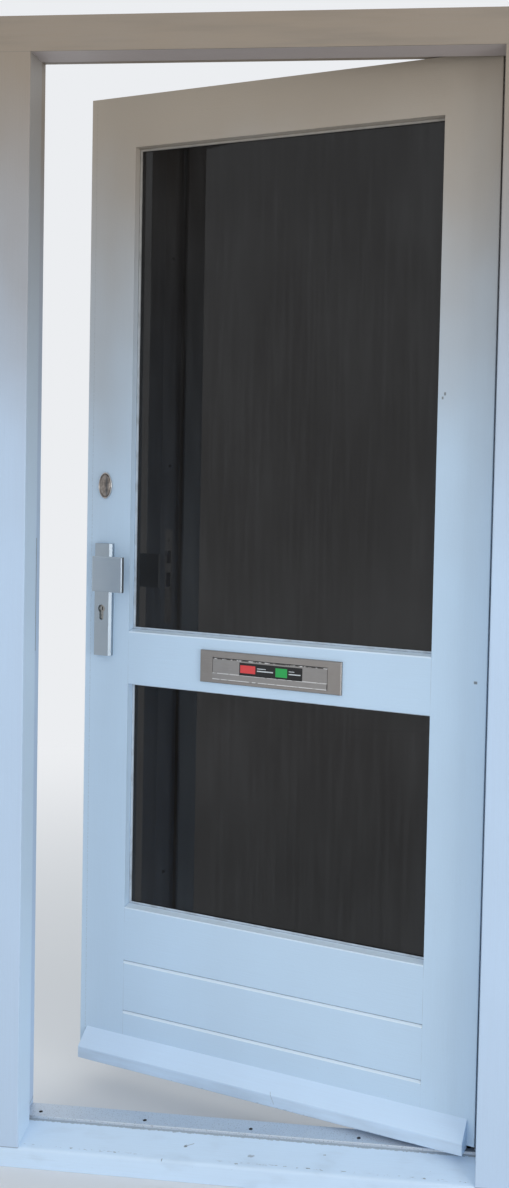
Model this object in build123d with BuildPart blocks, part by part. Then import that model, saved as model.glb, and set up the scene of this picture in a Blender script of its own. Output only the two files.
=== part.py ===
from build123d import *
from math import cos, radians, sin, tan
import os

os.makedirs("parts", exist_ok=True)

# A glazed timber front door in its frame, standing ajar. X runs to the right along the frame
# as seen from the street, Y into the house and Z up. The origin is the middle of the sill's
# underside. All sizes are millimetres.

# Frame timber and the opening between the stops
clear_width = 902.0
soffit_height = 2180.0
stock_face = 67.0
stock_depth = 114.0
rebate_width = 17.0
rebate_depth = 57.0
arris = 2.0

# Sill and threshold strip
sill_nose = 39.0
sill_top = 62.0
sill_slope_depth = 66.0
nose_radius = 8.0
strip_thickness = 5.0
strip_margin = 2.0
strip_end_gap = 0.5
strip_chamfer = 1.2
strip_screw_count = 5
strip_screw_spacing = 219.0
strip_screw_inset = 16.0

# Frame joints, wall fixings and rebate seal
frame_tenon_width = 30.0
frame_tenon_thickness = 30.0
tenon_cover = 12.0
mortice_clearance = 0.2
wall_hole_radius = 5.0
wall_hole_count = 4
wall_hole_spacing = 500.0
wall_hole_first = 400.0
seal_offset = 9.0
seal_bulb_width = 8.0
seal_stem_width = 3.0
seal_stem_depth = 6.0
seal_clearance = 0.4

# Leaf
edge_gap = 3.0
floor_gap = 12.0
opening_angle = 16.0
stile_width = 114.0
top_rail_height = 110.5
mid_rail_bottom = 917.8
mid_rail_top = 1030.5
lower_glass_bottom = 416.5
upper_board_joint = 297.5
lower_board_joint = 184.7
groove_size = 3.5
tenon_lock_gap = 5.0
rail_tenon_thickness = 18.0
rail_tenon_shoulder = 12.0

# Double glazing and its fixing
glass_lip = 17.0
glass_rebate = 17.0
pane_thickness = 4.0
pane_space = 12.0
pane_clearance = 4.0
spacer_width = 7.0
spacer_inset = 3.0
tape_thickness = 3.0
sealant_sight = 5.0
ledge_front = 3.0
ledge_back = 7.0
ledge_end_gap = 0.6
bead_chamfer = 2.0

# Weatherboard and bottom seal
board_top = 132.0
board_ridge = 100.0
board_bottom = 74.0
board_projection = 32.0
board_hinge_gap = 2.0
board_lock_gap = 5.0
board_rounding = 3.0
drip_radius = 3.0
drip_inset = 8.0
bottom_seal_width = 14.0
bottom_seal_clearance = 1.0
bottom_seal_end_gap = 5.0

# Hinges
pin_stand = 7.0
pin_radius = 3.0
pin_clearance = 0.05
pin_cap_radius = 5.0
pin_cap_height = 2.0
knuckle_radius = 6.3
knuckle_gap = 0.3
knuckle_count = 5
hinge_height = 89.0
hinge_reach = 44.5
hinge_plate = 3.0
hinge_corner = 8.0
hinge_end_distance = 215.0
hinge_screw_rows = (13.0, 34.0)
hinge_screw_column = 17.0

# Countersunk wood screws
screw_length = 32.0
screw_radius = 2.0
screw_head_radius = 4.0
screw_clearance = 0.1
sink_angle = 82.0

# Lock
backset = 51.5
cylinder_height = 1080.5
follower_above_cylinder = 72.0
latch_above_follower = 25.5
deadbolt_above_cylinder = 41.5
bolt_thickness = 10.6
bolt_clearance = 0.4
latch_height = 28.0
latch_throw = 12.0
latch_body = 74.0
latch_tail_thickness = 8.0
latch_flat = 2.5
arm_window_width = 13.0
arm_reach = 22.0
arm_width = 5.0
arm_clearance = 3.0
deadbolt_height = 32.0
deadbolt_throw = 20.0
deadbolt_length = 60.0
case_thickness = 16.0
case_wall = 2.0
case_depth = 77.0
case_below_cylinder = 36.0
case_clearance = 0.5
forend_width = 22.0
forend_thickness = 3.0
forend_height = 230.0
forend_screw_inset = 9.0
strike_lip = 3.0

# Key cylinder
cylinder_radius = 8.5
cylinder_stem_width = 10.0
cylinder_drop = 24.5
cylinder_clearance = 0.4
cylinder_recess = 4.0
plug_radius = 6.5
running_clearance = 0.05
cam_radius = 15.0
cam_width = 8.0
cam_thickness = 10.0
cam_clearance = 0.4
key_slot_width = 2.2
key_slot_height = 8.0
key_slot_depth = 20.0

# Plates, knob and lever
plate_below_cylinder = 103.5
plate_above_cylinder = 143.5
plate_width = 45.0
outside_plate_thickness = 13.5
outside_plate_chamfer_in = 4.4
outside_plate_chamfer_back = 5.5
inside_plate_thickness = 9.0
plate_corner = 2.0
plate_bolt_inset = 13.0
plate_bolt_radius = 3.0
plate_bolt_head_radius = 5.5
plate_bolt_grip = 8.0
knob_size = 76.0
knob_thickness = 9.0
knob_front = 55.8
knob_offset = 42.0
knob_above_cylinder = 80.5
knob_bevel = 1.6
neck_width = 22.0
neck_height = 32.0
neck_crank = 16.0
follower_radius = 9.0
spindle_size = 8.0
spindle_clearance = 0.1
spindle_play = 1.0
lever_radius = 9.5
lever_stand = 46.0
lever_length = 118.0
lever_bend = 20.0
lever_seat = 3.0
socket_depth = 28.0

# Oval rosette above the plate
rosette_width = 33.6
rosette_length = 58.0
rosette_thickness = 8.0
rosette_dome = 5.5
rosette_above_cylinder = 271.0
rosette_offset = 49.5

# Letterplate
letter_centre = 467.0
letter_width = 328.0
letter_height = 68.2
letter_thickness = 6.0
letter_bevel = 1.5
flap_side_margin = 31.3
flap_top_margin = 14.5
flap_bottom_margin = 8.2
flap_gap = 0.9
flap_thickness = 3.0
barrel_radius = 2.6
pivot_radius = 1.5
pivot_length = 3.0
grip_height = 13.5
grip_stand = 2.0
label_offset = 4.0
label_width = 146.0
label_foot_gap = 0.1
label_head_gap = 5.4
label_thickness = 0.4
slot_inset = 4.0
inner_plate_thickness = 2.5
inner_flap_overlap = 4.0
inner_flap_thickness = 2.0
inner_flap_air = 0.4
lug_width = 4.0
lug_margin = 2.0
letter_bolt_inset = 16.0
letter_bolt_radius = 2.5
letter_bolt_head_radius = 4.6
letter_bolt_grip = 3.5

# Lines of the frame that follow from its stock and rebate
stop_line = clear_width / 2
wall_line = stop_line + rebate_width
frame_side = stop_line + stock_face
front = -stock_depth / 2
back = stock_depth / 2
rebate_face = back - rebate_depth
head_line = soffit_height + rebate_width
head_top = soffit_height + stock_face
strip_front = front + sill_slope_depth
strip_top = sill_top + strip_thickness

# Lines of the leaf, whose widths run from the hinge edge and depths from the outer face
leaf_width = 2 * (wall_line - edge_gap)
leaf_thickness = rebate_depth - edge_gap
leaf_top = head_line - edge_gap
leaf_bottom = strip_top + floor_gap
lock_stile_line = leaf_width - stile_width
rail_length = lock_stile_line - stile_width
leaf_middle = leaf_width / 2
top_rail_bottom = leaf_top - top_rail_height
lock_line = leaf_width - backset
mid_depth = leaf_thickness / 2

# The leaf turns about the hinge pins by its opening angle
along = Vector(-cos(radians(opening_angle)), sin(radians(opening_angle)), 0)
inward = Vector(sin(radians(opening_angle)), cos(radians(opening_angle)), 0)
up = Vector(0, 0, 1)
pin_line = Vector(wall_line - edge_gap / 2, back + pin_stand, 0)
leaf_corner = pin_line + along * (edge_gap / 2) - inward * (leaf_thickness + pin_stand)
outer_face = Plane(leaf_corner, x_dir=along, z_dir=inward)


def leaf_section(width):
    """Plane across the leaf: x is depth, y is height, and it looks towards the hinges."""
    return Plane(leaf_corner + along * width, x_dir=inward, z_dir=-along)


def leaf_plan(height):
    """Level plane: x runs along the leaf and y out of its outer face."""
    return Plane(leaf_corner + up * height, x_dir=along, z_dir=up)


def seats_on_leaf(depth, *places):
    """Places on the leaf, given as width and height, that face into the house."""
    return [outer_face.offset(depth).location * Pos(x, z, 0) for x, z in places]


def countersunk_screw(head_radius, shank_radius, length):
    """Screw with its head's top at the origin and its shank along -Z."""
    head_depth = (head_radius - shank_radius) / tan(radians(sink_angle / 2))
    with BuildPart() as screw:
        with BuildSketch(Plane.XZ):
            with BuildLine():
                Polyline((0, 0), (head_radius, 0), (shank_radius, -head_depth),
                         (shank_radius, shank_radius - length), (0, -length), close=True)
            make_face()
        revolve(axis=Axis.Z)
    return screw.part


wood_screw = countersunk_screw(screw_head_radius, screw_radius, screw_length)
pilot_radius = screw_radius + screw_clearance
sink_radius = screw_head_radius + screw_clearance

# The hinges stand at equal distances from the leaf's ends, with one half way between
hinge_low = leaf_bottom + hinge_end_distance
hinge_high = leaf_top - hinge_end_distance
hinge_centres = {"bottom": hinge_low, "middle": (hinge_low + hinge_high) / 2, "top": hinge_high}


def frame_hinge_plan(centre):
    """Plane at a hinge's foot: x points to the street and y into the jamb."""
    return Plane(pin_line + up * (centre - hinge_height / 2), x_dir=(0, -1, 0), z_dir=up)


def leaf_hinge_plan(centre):
    """The same from the hinge's top, for the leaf: x to its outer face and y into the stile."""
    return Plane(pin_line + up * (centre + hinge_height / 2), x_dir=-inward, z_dir=-up)


def hinge_seats(plan):
    """Places of the screw heads on a hinge plate, facing out of the timber."""
    middle = hinge_height / 2
    places = [
        (reach, middle + side * hinge_screw_column * (1 + row))
        for row, reach in enumerate(hinge_screw_rows)
        for side in (-1, 1)
    ]
    return [
        Plane(plan.from_local_coords((reach, edge_gap / 2, height)), x_dir=plan.x_dir,
              z_dir=-plan.y_dir).location
        for reach, height in places
    ]


def plate_corners(plate, plan):
    """The two short edges at the end of a hinge plate that lies deep in the timber."""
    short_edges = plate.edges().filter_by(Axis((0, 0, 0), plan.y_dir))
    return sorted(short_edges, key=lambda edge: plan.to_local_coords(edge.center()).X)[-2:]


def hinge_bed(plan):
    """Recess in the timber that takes a hinge plate flush."""
    with BuildPart() as bed:
        with BuildSketch(plan):
            with Locations((pin_stand, edge_gap / 2)):
                Rectangle(hinge_reach - pin_stand, hinge_plate, align=(Align.MIN, Align.MIN))
        extrude(amount=hinge_height)
        fillet(plate_corners(bed, plan), hinge_corner)
    return bed.part


def hinge_half(plan, own_knuckles):
    """Hinge plate with its share of the knuckles, bored for the pin."""
    pitch = hinge_height / knuckle_count
    seats = hinge_seats(plan)
    with BuildPart() as half:
        with BuildSketch(plan):
            with Locations((0, edge_gap / 2)):
                Rectangle(hinge_reach, hinge_plate, align=(Align.MIN, Align.MIN))
        extrude(amount=hinge_height)
        fillet(plate_corners(half, plan), hinge_corner)
        for knuckle in range(knuckle_count):
            foot = plan.offset(knuckle * pitch)
            if knuckle in own_knuckles:
                with BuildSketch(foot.offset(knuckle_gap / 2)):
                    Circle(knuckle_radius)
                extrude(amount=pitch - knuckle_gap)
            else:
                with BuildSketch(foot.offset(-knuckle_gap / 2)):
                    Circle(knuckle_radius + knuckle_gap)
                extrude(amount=pitch + knuckle_gap, mode=Mode.SUBTRACT)
        with BuildSketch(plan):
            Circle(pin_radius + pin_clearance)
        extrude(amount=hinge_height, mode=Mode.SUBTRACT)
        with Locations(*seats):
            CounterSinkHole(pilot_radius, sink_radius, depth=hinge_plate)
    return half.part


frame_knuckles = range(0, knuckle_count, 2)
leaf_knuckles = range(1, knuckle_count, 2)
frame_seats = []
leaf_seats = []
for place, centre in hinge_centres.items():
    frame_seats += hinge_seats(frame_hinge_plan(centre))
    leaf_seats += hinge_seats(leaf_hinge_plan(centre))
    with BuildPart() as frame_half:
        add(hinge_half(frame_hinge_plan(centre), frame_knuckles))
    frame_half.part.label = f"{place}_hinge_frame_half"
    export_step(frame_half.part, f"parts/{place}_hinge_frame_half.step")
    with BuildPart() as leaf_half:
        add(hinge_half(leaf_hinge_plan(centre), leaf_knuckles))
    leaf_half.part.label = f"{place}_hinge_leaf_half"
    export_step(leaf_half.part, f"parts/{place}_hinge_leaf_half.step")

# Hinge pins, each with a button at both ends
with BuildPart() as hinge_pins:
    for centre in hinge_centres.values():
        with BuildSketch(Plane(pin_line + up * (centre - hinge_height / 2))):
            Circle(pin_radius)
        extrude(amount=hinge_height)
        for end in (centre - hinge_height / 2 - pin_cap_height, centre + hinge_height / 2):
            with BuildSketch(Plane(pin_line + up * end)):
                Circle(pin_cap_radius)
            extrude(amount=pin_cap_height)
hinge_pins.part.label = "hinge_pins"
export_step(hinge_pins.part, "parts/hinge_pins.step")

# Profiles of the sill and head, which also trim the ends of the jambs
with BuildSketch(Plane.YZ) as sill_profile:
    with BuildLine():
        Polyline((front, 0), (back, 0), (back, sill_top), (strip_front, sill_top),
                 (front, sill_nose), close=True)
    make_face()

with BuildSketch(Plane.YZ) as head_profile:
    with BuildLine():
        Polyline((front, soffit_height), (rebate_face, soffit_height), (rebate_face, head_line),
                 (back, head_line), (back, head_top), (front, head_top), close=True)
    make_face()

# Mortices in the sill and head take the jambs' tenons
tenon_line = (wall_line + frame_side) / 2
tenon_depth_line = front / 2
tenon_places = [(side * tenon_line, tenon_depth_line, tenon_cover) for side in (-1, 1)]
tenon_reach = head_top - 2 * tenon_cover
strip_screw_seats = [
    (strip_screw_spacing * (index - (strip_screw_count - 1) / 2), strip_front + strip_screw_inset,
     strip_top)
    for index in range(strip_screw_count)
]

# The rebate seal runs round both jambs and the head; its stem sits in a groove
rebate_plane = Plane((0, rebate_face, sill_top), x_dir=(1, 0, 0), z_dir=(0, -1, 0))
seal_line = stop_line + seal_offset
seal_height = soffit_height + seal_offset - sill_top


def seal_outline(width):
    """Band of this width along the seal's line, open at the sill."""
    with BuildSketch(rebate_plane) as band:
        Rectangle(2 * seal_line + width, seal_height + width / 2, align=(Align.CENTER, Align.MIN))
        Rectangle(2 * seal_line - width, seal_height - width / 2, align=(Align.CENTER, Align.MIN),
                  mode=Mode.SUBTRACT)
    return band.sketch


with BuildPart() as mortice_cutter:
    with Locations(*[place - Vector(0, 0, mortice_clearance) for place in map(Vector, tenon_places)]):
        Box(frame_tenon_width + 2 * mortice_clearance,
            frame_tenon_thickness + 2 * mortice_clearance,
            tenon_reach + 2 * mortice_clearance, align=(Align.CENTER, Align.CENTER, Align.MIN))

with BuildPart() as sill:
    extrude(sill_profile.sketch, amount=frame_side, both=True)
    nose = sill.edges().filter_by(Axis.X).group_by(Axis.Y)[0].sort_by(Axis.Z)[-1]
    fillet(nose, nose_radius)
    add(mortice_cutter.part, mode=Mode.SUBTRACT)
    with Locations(*strip_screw_seats):
        Hole(pilot_radius, depth=screw_length + screw_clearance)
sill.part.label = "sill"
export_step(sill.part, "parts/sill.step")

with BuildPart() as head:
    extrude(head_profile.sketch, amount=frame_side, both=True)
    add(mortice_cutter.part, mode=Mode.SUBTRACT)
    extrude(seal_outline(seal_stem_width), amount=seal_stem_depth, mode=Mode.SUBTRACT)
head.part.label = "head"
export_step(head.part, "parts/head.step")


def jamb(side):
    """Jamb on the left (-1) or right (1), tenoned and trimmed to the sill and head."""
    with BuildPart() as post:
        with BuildSketch() as section:
            with BuildLine():
                Polyline((side * frame_side, front), (side * stop_line, front),
                         (side * stop_line, rebate_face), (side * wall_line, rebate_face),
                         (side * wall_line, back), (side * frame_side, back), close=True)
            make_face()
            fillet(section.vertices().sort_by(lambda corner: abs(corner.X))[:2], arris)
        extrude(amount=head_top)
        extrude(sill_profile.sketch, amount=frame_side, both=True, mode=Mode.SUBTRACT)
        extrude(head_profile.sketch, amount=frame_side, both=True, mode=Mode.SUBTRACT)
        with Locations((side * tenon_line, tenon_depth_line, tenon_cover)):
            Box(frame_tenon_width, frame_tenon_thickness, tenon_reach,
                align=(Align.CENTER, Align.CENTER, Align.MIN))
        extrude(seal_outline(seal_stem_width), amount=seal_stem_depth, mode=Mode.SUBTRACT)
        holes = [wall_hole_first + index * wall_hole_spacing for index in range(wall_hole_count)]
        for height in holes:
            with BuildSketch(Plane.YZ.offset(side * tenon_line)):
                with Locations((rebate_face + edge_gap + mid_depth, height)):
                    Circle(wall_hole_radius)
            extrude(amount=stock_face, both=True, mode=Mode.SUBTRACT)
    return post.part


# Lock jamb, let in for the strike plate and hollowed behind its two openings
strike_depth_line = rebate_face + edge_gap + mid_depth
follower_height = cylinder_height + follower_above_cylinder
latch_centre = follower_height + latch_above_follower
plate_bottom = cylinder_height - plate_below_cylinder
plate_top = cylinder_height + plate_above_cylinder
knob_height = cylinder_height + knob_above_cylinder
rosette_height = cylinder_height + rosette_above_cylinder
deadbolt_centre = cylinder_height + deadbolt_above_cylinder
forend_bottom = (cylinder_height + latch_centre - forend_height) / 2
forend_centre = forend_bottom + forend_height / 2
wall_face = Plane((-wall_line, strike_depth_line, 0), x_dir=(0, 1, 0), z_dir=(1, 0, 0))
strike_bolts = [
    (latch_centre, latch_height, latch_throw),
    (deadbolt_centre, deadbolt_height, deadbolt_throw),
]
forend_screw_heights = (forend_bottom + forend_screw_inset,
                        forend_bottom + forend_height - forend_screw_inset)
strike_seats = [wall_face.location * Pos(0, height, 0) for height in forend_screw_heights]

with BuildPart() as lock_jamb:
    add(jamb(-1))
    with BuildSketch(wall_face):
        with Locations((0, forend_centre)):
            Rectangle(forend_width, forend_height)
    extrude(amount=-forend_thickness, mode=Mode.SUBTRACT)
    for height, tall, throw in strike_bolts:
        with BuildSketch(wall_face):
            with Locations((0, height)):
                Rectangle(bolt_thickness + 2 * strike_lip, tall + 2 * strike_lip)
        extrude(amount=-(throw + bolt_clearance), mode=Mode.SUBTRACT)
    with Locations(*strike_seats):
        Hole(pilot_radius, depth=screw_length + screw_clearance)
lock_jamb.part.label = "lock_jamb"
export_step(lock_jamb.part, "parts/lock_jamb.step")

with BuildPart() as strike_plate:
    with BuildSketch(wall_face):
        with Locations((0, forend_centre)):
            Rectangle(forend_width, forend_height)
        for height, tall, throw in strike_bolts:
            with Locations((0, height)):
                Rectangle(bolt_thickness + strike_lip, tall + strike_lip, mode=Mode.SUBTRACT)
    extrude(amount=-forend_thickness)
    with Locations(*strike_seats):
        CounterSinkHole(pilot_radius, sink_radius, depth=forend_thickness)
strike_plate.part.label = "strike_plate"
export_step(strike_plate.part, "parts/strike_plate.step")

# Wood screws of the strike plate and of the hinges on the frame
with BuildPart() as frame_screws:
    with Locations(*strike_seats, *frame_seats):
        add(wood_screw)
frame_screws.part.label = "frame_screws"
export_step(frame_screws.part, "parts/frame_screws.step")

# Hinge jamb, let in for the three hinge plates
with BuildPart() as hinge_jamb:
    add(jamb(1))
    for centre in hinge_centres.values():
        add(hinge_bed(frame_hinge_plan(centre)), mode=Mode.SUBTRACT)
    with Locations(*frame_seats):
        Hole(pilot_radius, depth=screw_length + screw_clearance)
hinge_jamb.part.label = "hinge_jamb"
export_step(hinge_jamb.part, "parts/hinge_jamb.step")

# Rebate seal in one length: a stem in the groove and a flat bulb that the leaf closes on
with BuildPart() as frame_seal:
    extrude(seal_outline(seal_stem_width), amount=seal_stem_depth)
    extrude(seal_outline(seal_bulb_width), amount=seal_clearance - edge_gap)
frame_seal.part.label = "frame_seal"
export_step(frame_seal.part, "parts/frame_seal.step")

# Aluminium threshold strip between the jambs, held by countersunk screws
with BuildPart() as threshold_strip:
    with BuildSketch(Plane.YZ):
        with Locations((strip_front, sill_top)):
            Rectangle(back - strip_margin - strip_front, strip_thickness, align=(Align.MIN, Align.MIN))
    extrude(amount=wall_line - strip_end_gap, both=True)
    top_edges = threshold_strip.edges().filter_by(Axis.X).group_by(Axis.Z)[-1]
    chamfer(top_edges, strip_chamfer)
    with Locations(*strip_screw_seats):
        CounterSinkHole(pilot_radius, sink_radius, depth=strip_thickness)
threshold_strip.part.label = "threshold_strip"
export_step(threshold_strip.part, "parts/threshold_strip.step")

with BuildPart() as threshold_screws:
    with Locations(*strip_screw_seats):
        add(wood_screw)
threshold_screws.part.label = "threshold_screws"
export_step(threshold_screws.part, "parts/threshold_screws.step")

# Rails of the leaf: bottom, top, kind of bottom edge and kind of top edge
rails = {
    "top_rail": (top_rail_bottom, leaf_top, "glass", "plain"),
    "mid_rail": (mid_rail_bottom, mid_rail_top, "glass", "glass"),
    "upper_board": (upper_board_joint, lower_glass_bottom, "groove", "glass"),
    "middle_board": (lower_board_joint, upper_board_joint, "groove", "groove"),
    "lower_board": (leaf_bottom, lower_board_joint, "plain", "groove"),
}
glass_openings = {
    "upper": (mid_rail_top, top_rail_bottom),
    "lower": (lower_glass_bottom, mid_rail_bottom),
}


def edge_points(kind, height, side):
    """Outline of a rail's top (1) or bottom (-1) edge, from the outer face to the inner."""
    if kind == "glass":
        floor = height - side * glass_rebate
        return [(0, height), (glass_lip, height), (glass_lip, floor), (leaf_thickness, floor)]
    if kind == "groove":
        slant = height - side * groove_size
        return [(0, slant), (groove_size, height), (leaf_thickness - groove_size, height),
                (leaf_thickness, slant)]
    return [(0, height), (leaf_thickness, height)]


def rail_tenon(low, high, clearance):
    """Sketch of the tenons at both ends of a rail, through its whole length."""
    height = high - low - 2 * (glass_rebate + rail_tenon_shoulder)
    length = rail_length + 2 * (stile_width - case_depth - tenon_lock_gap + clearance)
    with BuildSketch(outer_face.offset(mid_depth - rail_tenon_thickness / 2 - clearance)) as tenon:
        with Locations((leaf_middle, (low + high) / 2)):
            Rectangle(length, height + 2 * clearance)
    return tenon.sketch


def rail(low, high, low_kind, high_kind):
    """Rail between the stiles, with its edges shaped and its ends tenoned."""
    with BuildPart() as piece:
        with BuildSketch(leaf_section(lock_stile_line)):
            with BuildLine():
                Polyline(*edge_points(low_kind, low, -1), *reversed(edge_points(high_kind, high, 1)),
                         close=True)
            make_face()
        extrude(amount=rail_length)
        extrude(rail_tenon(low, high, 0), amount=rail_tenon_thickness)
    return piece.part


def stile(hinge_side, free_edge):
    """Stile from its hinge-side line, morticed for the rails and rebated for the glass."""
    with BuildPart() as piece:
        with BuildSketch(leaf_plan(leaf_bottom)) as plan:
            with Locations((hinge_side, 0)):
                Rectangle(stile_width, leaf_thickness, align=(Align.MIN, Align.MAX))
            free_corners = plan.vertices().sort_by(lambda corner: abs(corner.X - free_edge))[:2]
            fillet(free_corners, arris)
        extrude(amount=leaf_top - leaf_bottom)
        for low, high, low_kind, high_kind in rails.values():
            extrude(rail_tenon(low, high, mortice_clearance), mode=Mode.SUBTRACT,
                    amount=rail_tenon_thickness + 2 * mortice_clearance)
        for low, high in glass_openings.values():
            with BuildSketch(outer_face.offset(glass_lip)):
                with Locations((leaf_middle, (low + high) / 2)):
                    Rectangle(rail_length + 2 * glass_rebate, high - low + 2 * glass_rebate)
            extrude(amount=leaf_thickness - glass_lip, mode=Mode.SUBTRACT)
    return piece.part


# Top rail and middle rail
with BuildPart() as top_rail:
    add(rail(*rails["top_rail"]))
top_rail.part.label = "top_rail"
export_step(top_rail.part, "parts/top_rail.step")

letter_height_line = (mid_rail_bottom + mid_rail_top) / 2
flap_width = letter_width - 2 * flap_side_margin
flap_top = letter_height_line + letter_height / 2 - flap_top_margin
flap_bottom = letter_height_line - letter_height / 2 + flap_bottom_margin
slot_width = flap_width - 2 * slot_inset
slot_height = flap_top - flap_bottom - slot_inset
slot_centre = (flap_top + flap_bottom) / 2
letter_bolt_places = [
    (letter_centre + side * (letter_width / 2 - letter_bolt_inset), letter_height_line)
    for side in (-1, 1)
]

with BuildPart() as mid_rail:
    add(rail(*rails["mid_rail"]))
    with BuildSketch(outer_face):
        with Locations((letter_centre, slot_centre)):
            Rectangle(slot_width, slot_height)
        with Locations(*letter_bolt_places):
            Circle(letter_bolt_radius + screw_clearance)
    extrude(amount=leaf_thickness, mode=Mode.SUBTRACT)
mid_rail.part.label = "mid_rail"
export_step(mid_rail.part, "parts/mid_rail.step")

# Three boards below the lower glass, V-grooved where they meet
for name in ("upper_board", "middle_board", "lower_board"):
    with BuildPart() as board:
        add(rail(*rails[name]))
    board.part.label = name
    export_step(board.part, f"parts/{name}.step")

# Hinge stile, let in for the three hinge plates
with BuildPart() as hinge_stile:
    add(stile(0, 0))
    for centre in hinge_centres.values():
        add(hinge_bed(leaf_hinge_plan(centre)), mode=Mode.SUBTRACT)
    with Locations(*leaf_seats):
        Hole(pilot_radius, depth=screw_length + screw_clearance)
hinge_stile.part.label = "hinge_stile"
export_step(hinge_stile.part, "parts/hinge_stile.step")

# Lock stile, with the pocket for the lock case and the holes for cylinder, spindle and bolts
lock_edge = leaf_section(leaf_width)
forend_seats = [
    lock_edge.location * Pos(mid_depth, height, 0) * Rot(Y=180) for height in forend_screw_heights
]
case_bottom = cylinder_height - case_below_cylinder
case_top = latch_centre + latch_height / 2 + case_wall + bolt_clearance + case_wall
case_centre = (case_bottom + case_top) / 2
plate_bolt_places = [(lock_line, plate_bottom + plate_bolt_inset), (lock_line, plate_top - plate_bolt_inset)]


def cylinder_outline(depth, clearance):
    """Outline of the key cylinder: a round over a rounded stem, in the leaf's plane."""
    with BuildSketch(outer_face.offset(depth)) as outline:
        stem = cylinder_stem_width / 2
        with Locations((lock_line, cylinder_height)):
            Circle(cylinder_radius + clearance)
            Rectangle(2 * (stem + clearance), cylinder_drop - stem, align=(Align.CENTER, Align.MAX))
        with Locations((lock_line, cylinder_height - cylinder_drop + stem)):
            Circle(stem + clearance)
    return outline.sketch


with BuildPart() as lock_stile:
    add(stile(lock_stile_line, leaf_width))
    with BuildSketch(lock_edge):
        with Locations((mid_depth, forend_centre)):
            Rectangle(forend_width, forend_height)
    extrude(amount=forend_thickness, mode=Mode.SUBTRACT)
    with BuildSketch(lock_edge):
        with Locations((mid_depth, case_centre)):
            Rectangle(case_thickness + 2 * case_clearance, case_top - case_bottom + 2 * case_clearance)
    extrude(amount=case_depth + case_clearance, mode=Mode.SUBTRACT)
    extrude(cylinder_outline(0, case_clearance), amount=leaf_thickness, mode=Mode.SUBTRACT)
    with BuildSketch(outer_face.offset(mid_depth)):
        with Locations((lock_line, follower_height)):
            Circle(follower_radius + case_clearance)
    extrude(amount=mid_depth, mode=Mode.SUBTRACT)
    with Locations(*seats_on_leaf(leaf_thickness, *plate_bolt_places)):
        Hole(plate_bolt_radius + screw_clearance, depth=leaf_thickness)
    with Locations(*forend_seats):
        Hole(pilot_radius, depth=screw_length + screw_clearance)
lock_stile.part.label = "lock_stile"
export_step(lock_stile.part, "parts/lock_stile.step")


# Double glazing: two panes on a spacer, bedded on sealant and held by mitred beads inside
def opening_frame(low, high, outer, inner, inner_low):
    """Ring round an opening: outer edge past its lines, inner edge short of them."""
    with BuildSketch(outer_face) as ring:
        with Locations((leaf_middle, (low + high) / 2)):
            Rectangle(rail_length + 2 * outer, high - low + 2 * outer)
        with Locations((leaf_middle, (low + inner_low + high - inner) / 2)):
            Rectangle(rail_length - 2 * inner, high - low - inner - inner_low, mode=Mode.SUBTRACT)
    return ring.sketch


def at_depth(sketch, depth):
    """The same sketch, deeper in the leaf."""
    return sketch.moved(Location(inward * depth))


pane_edge = glass_rebate - pane_clearance
outer_pane_depth = glass_lip + tape_thickness
spacer_depth = outer_pane_depth + pane_thickness
inner_pane_depth = spacer_depth + pane_space
inner_tape_depth = inner_pane_depth + pane_thickness
bead_depth = inner_tape_depth + tape_thickness
spacer_edge = pane_edge - spacer_inset

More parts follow.
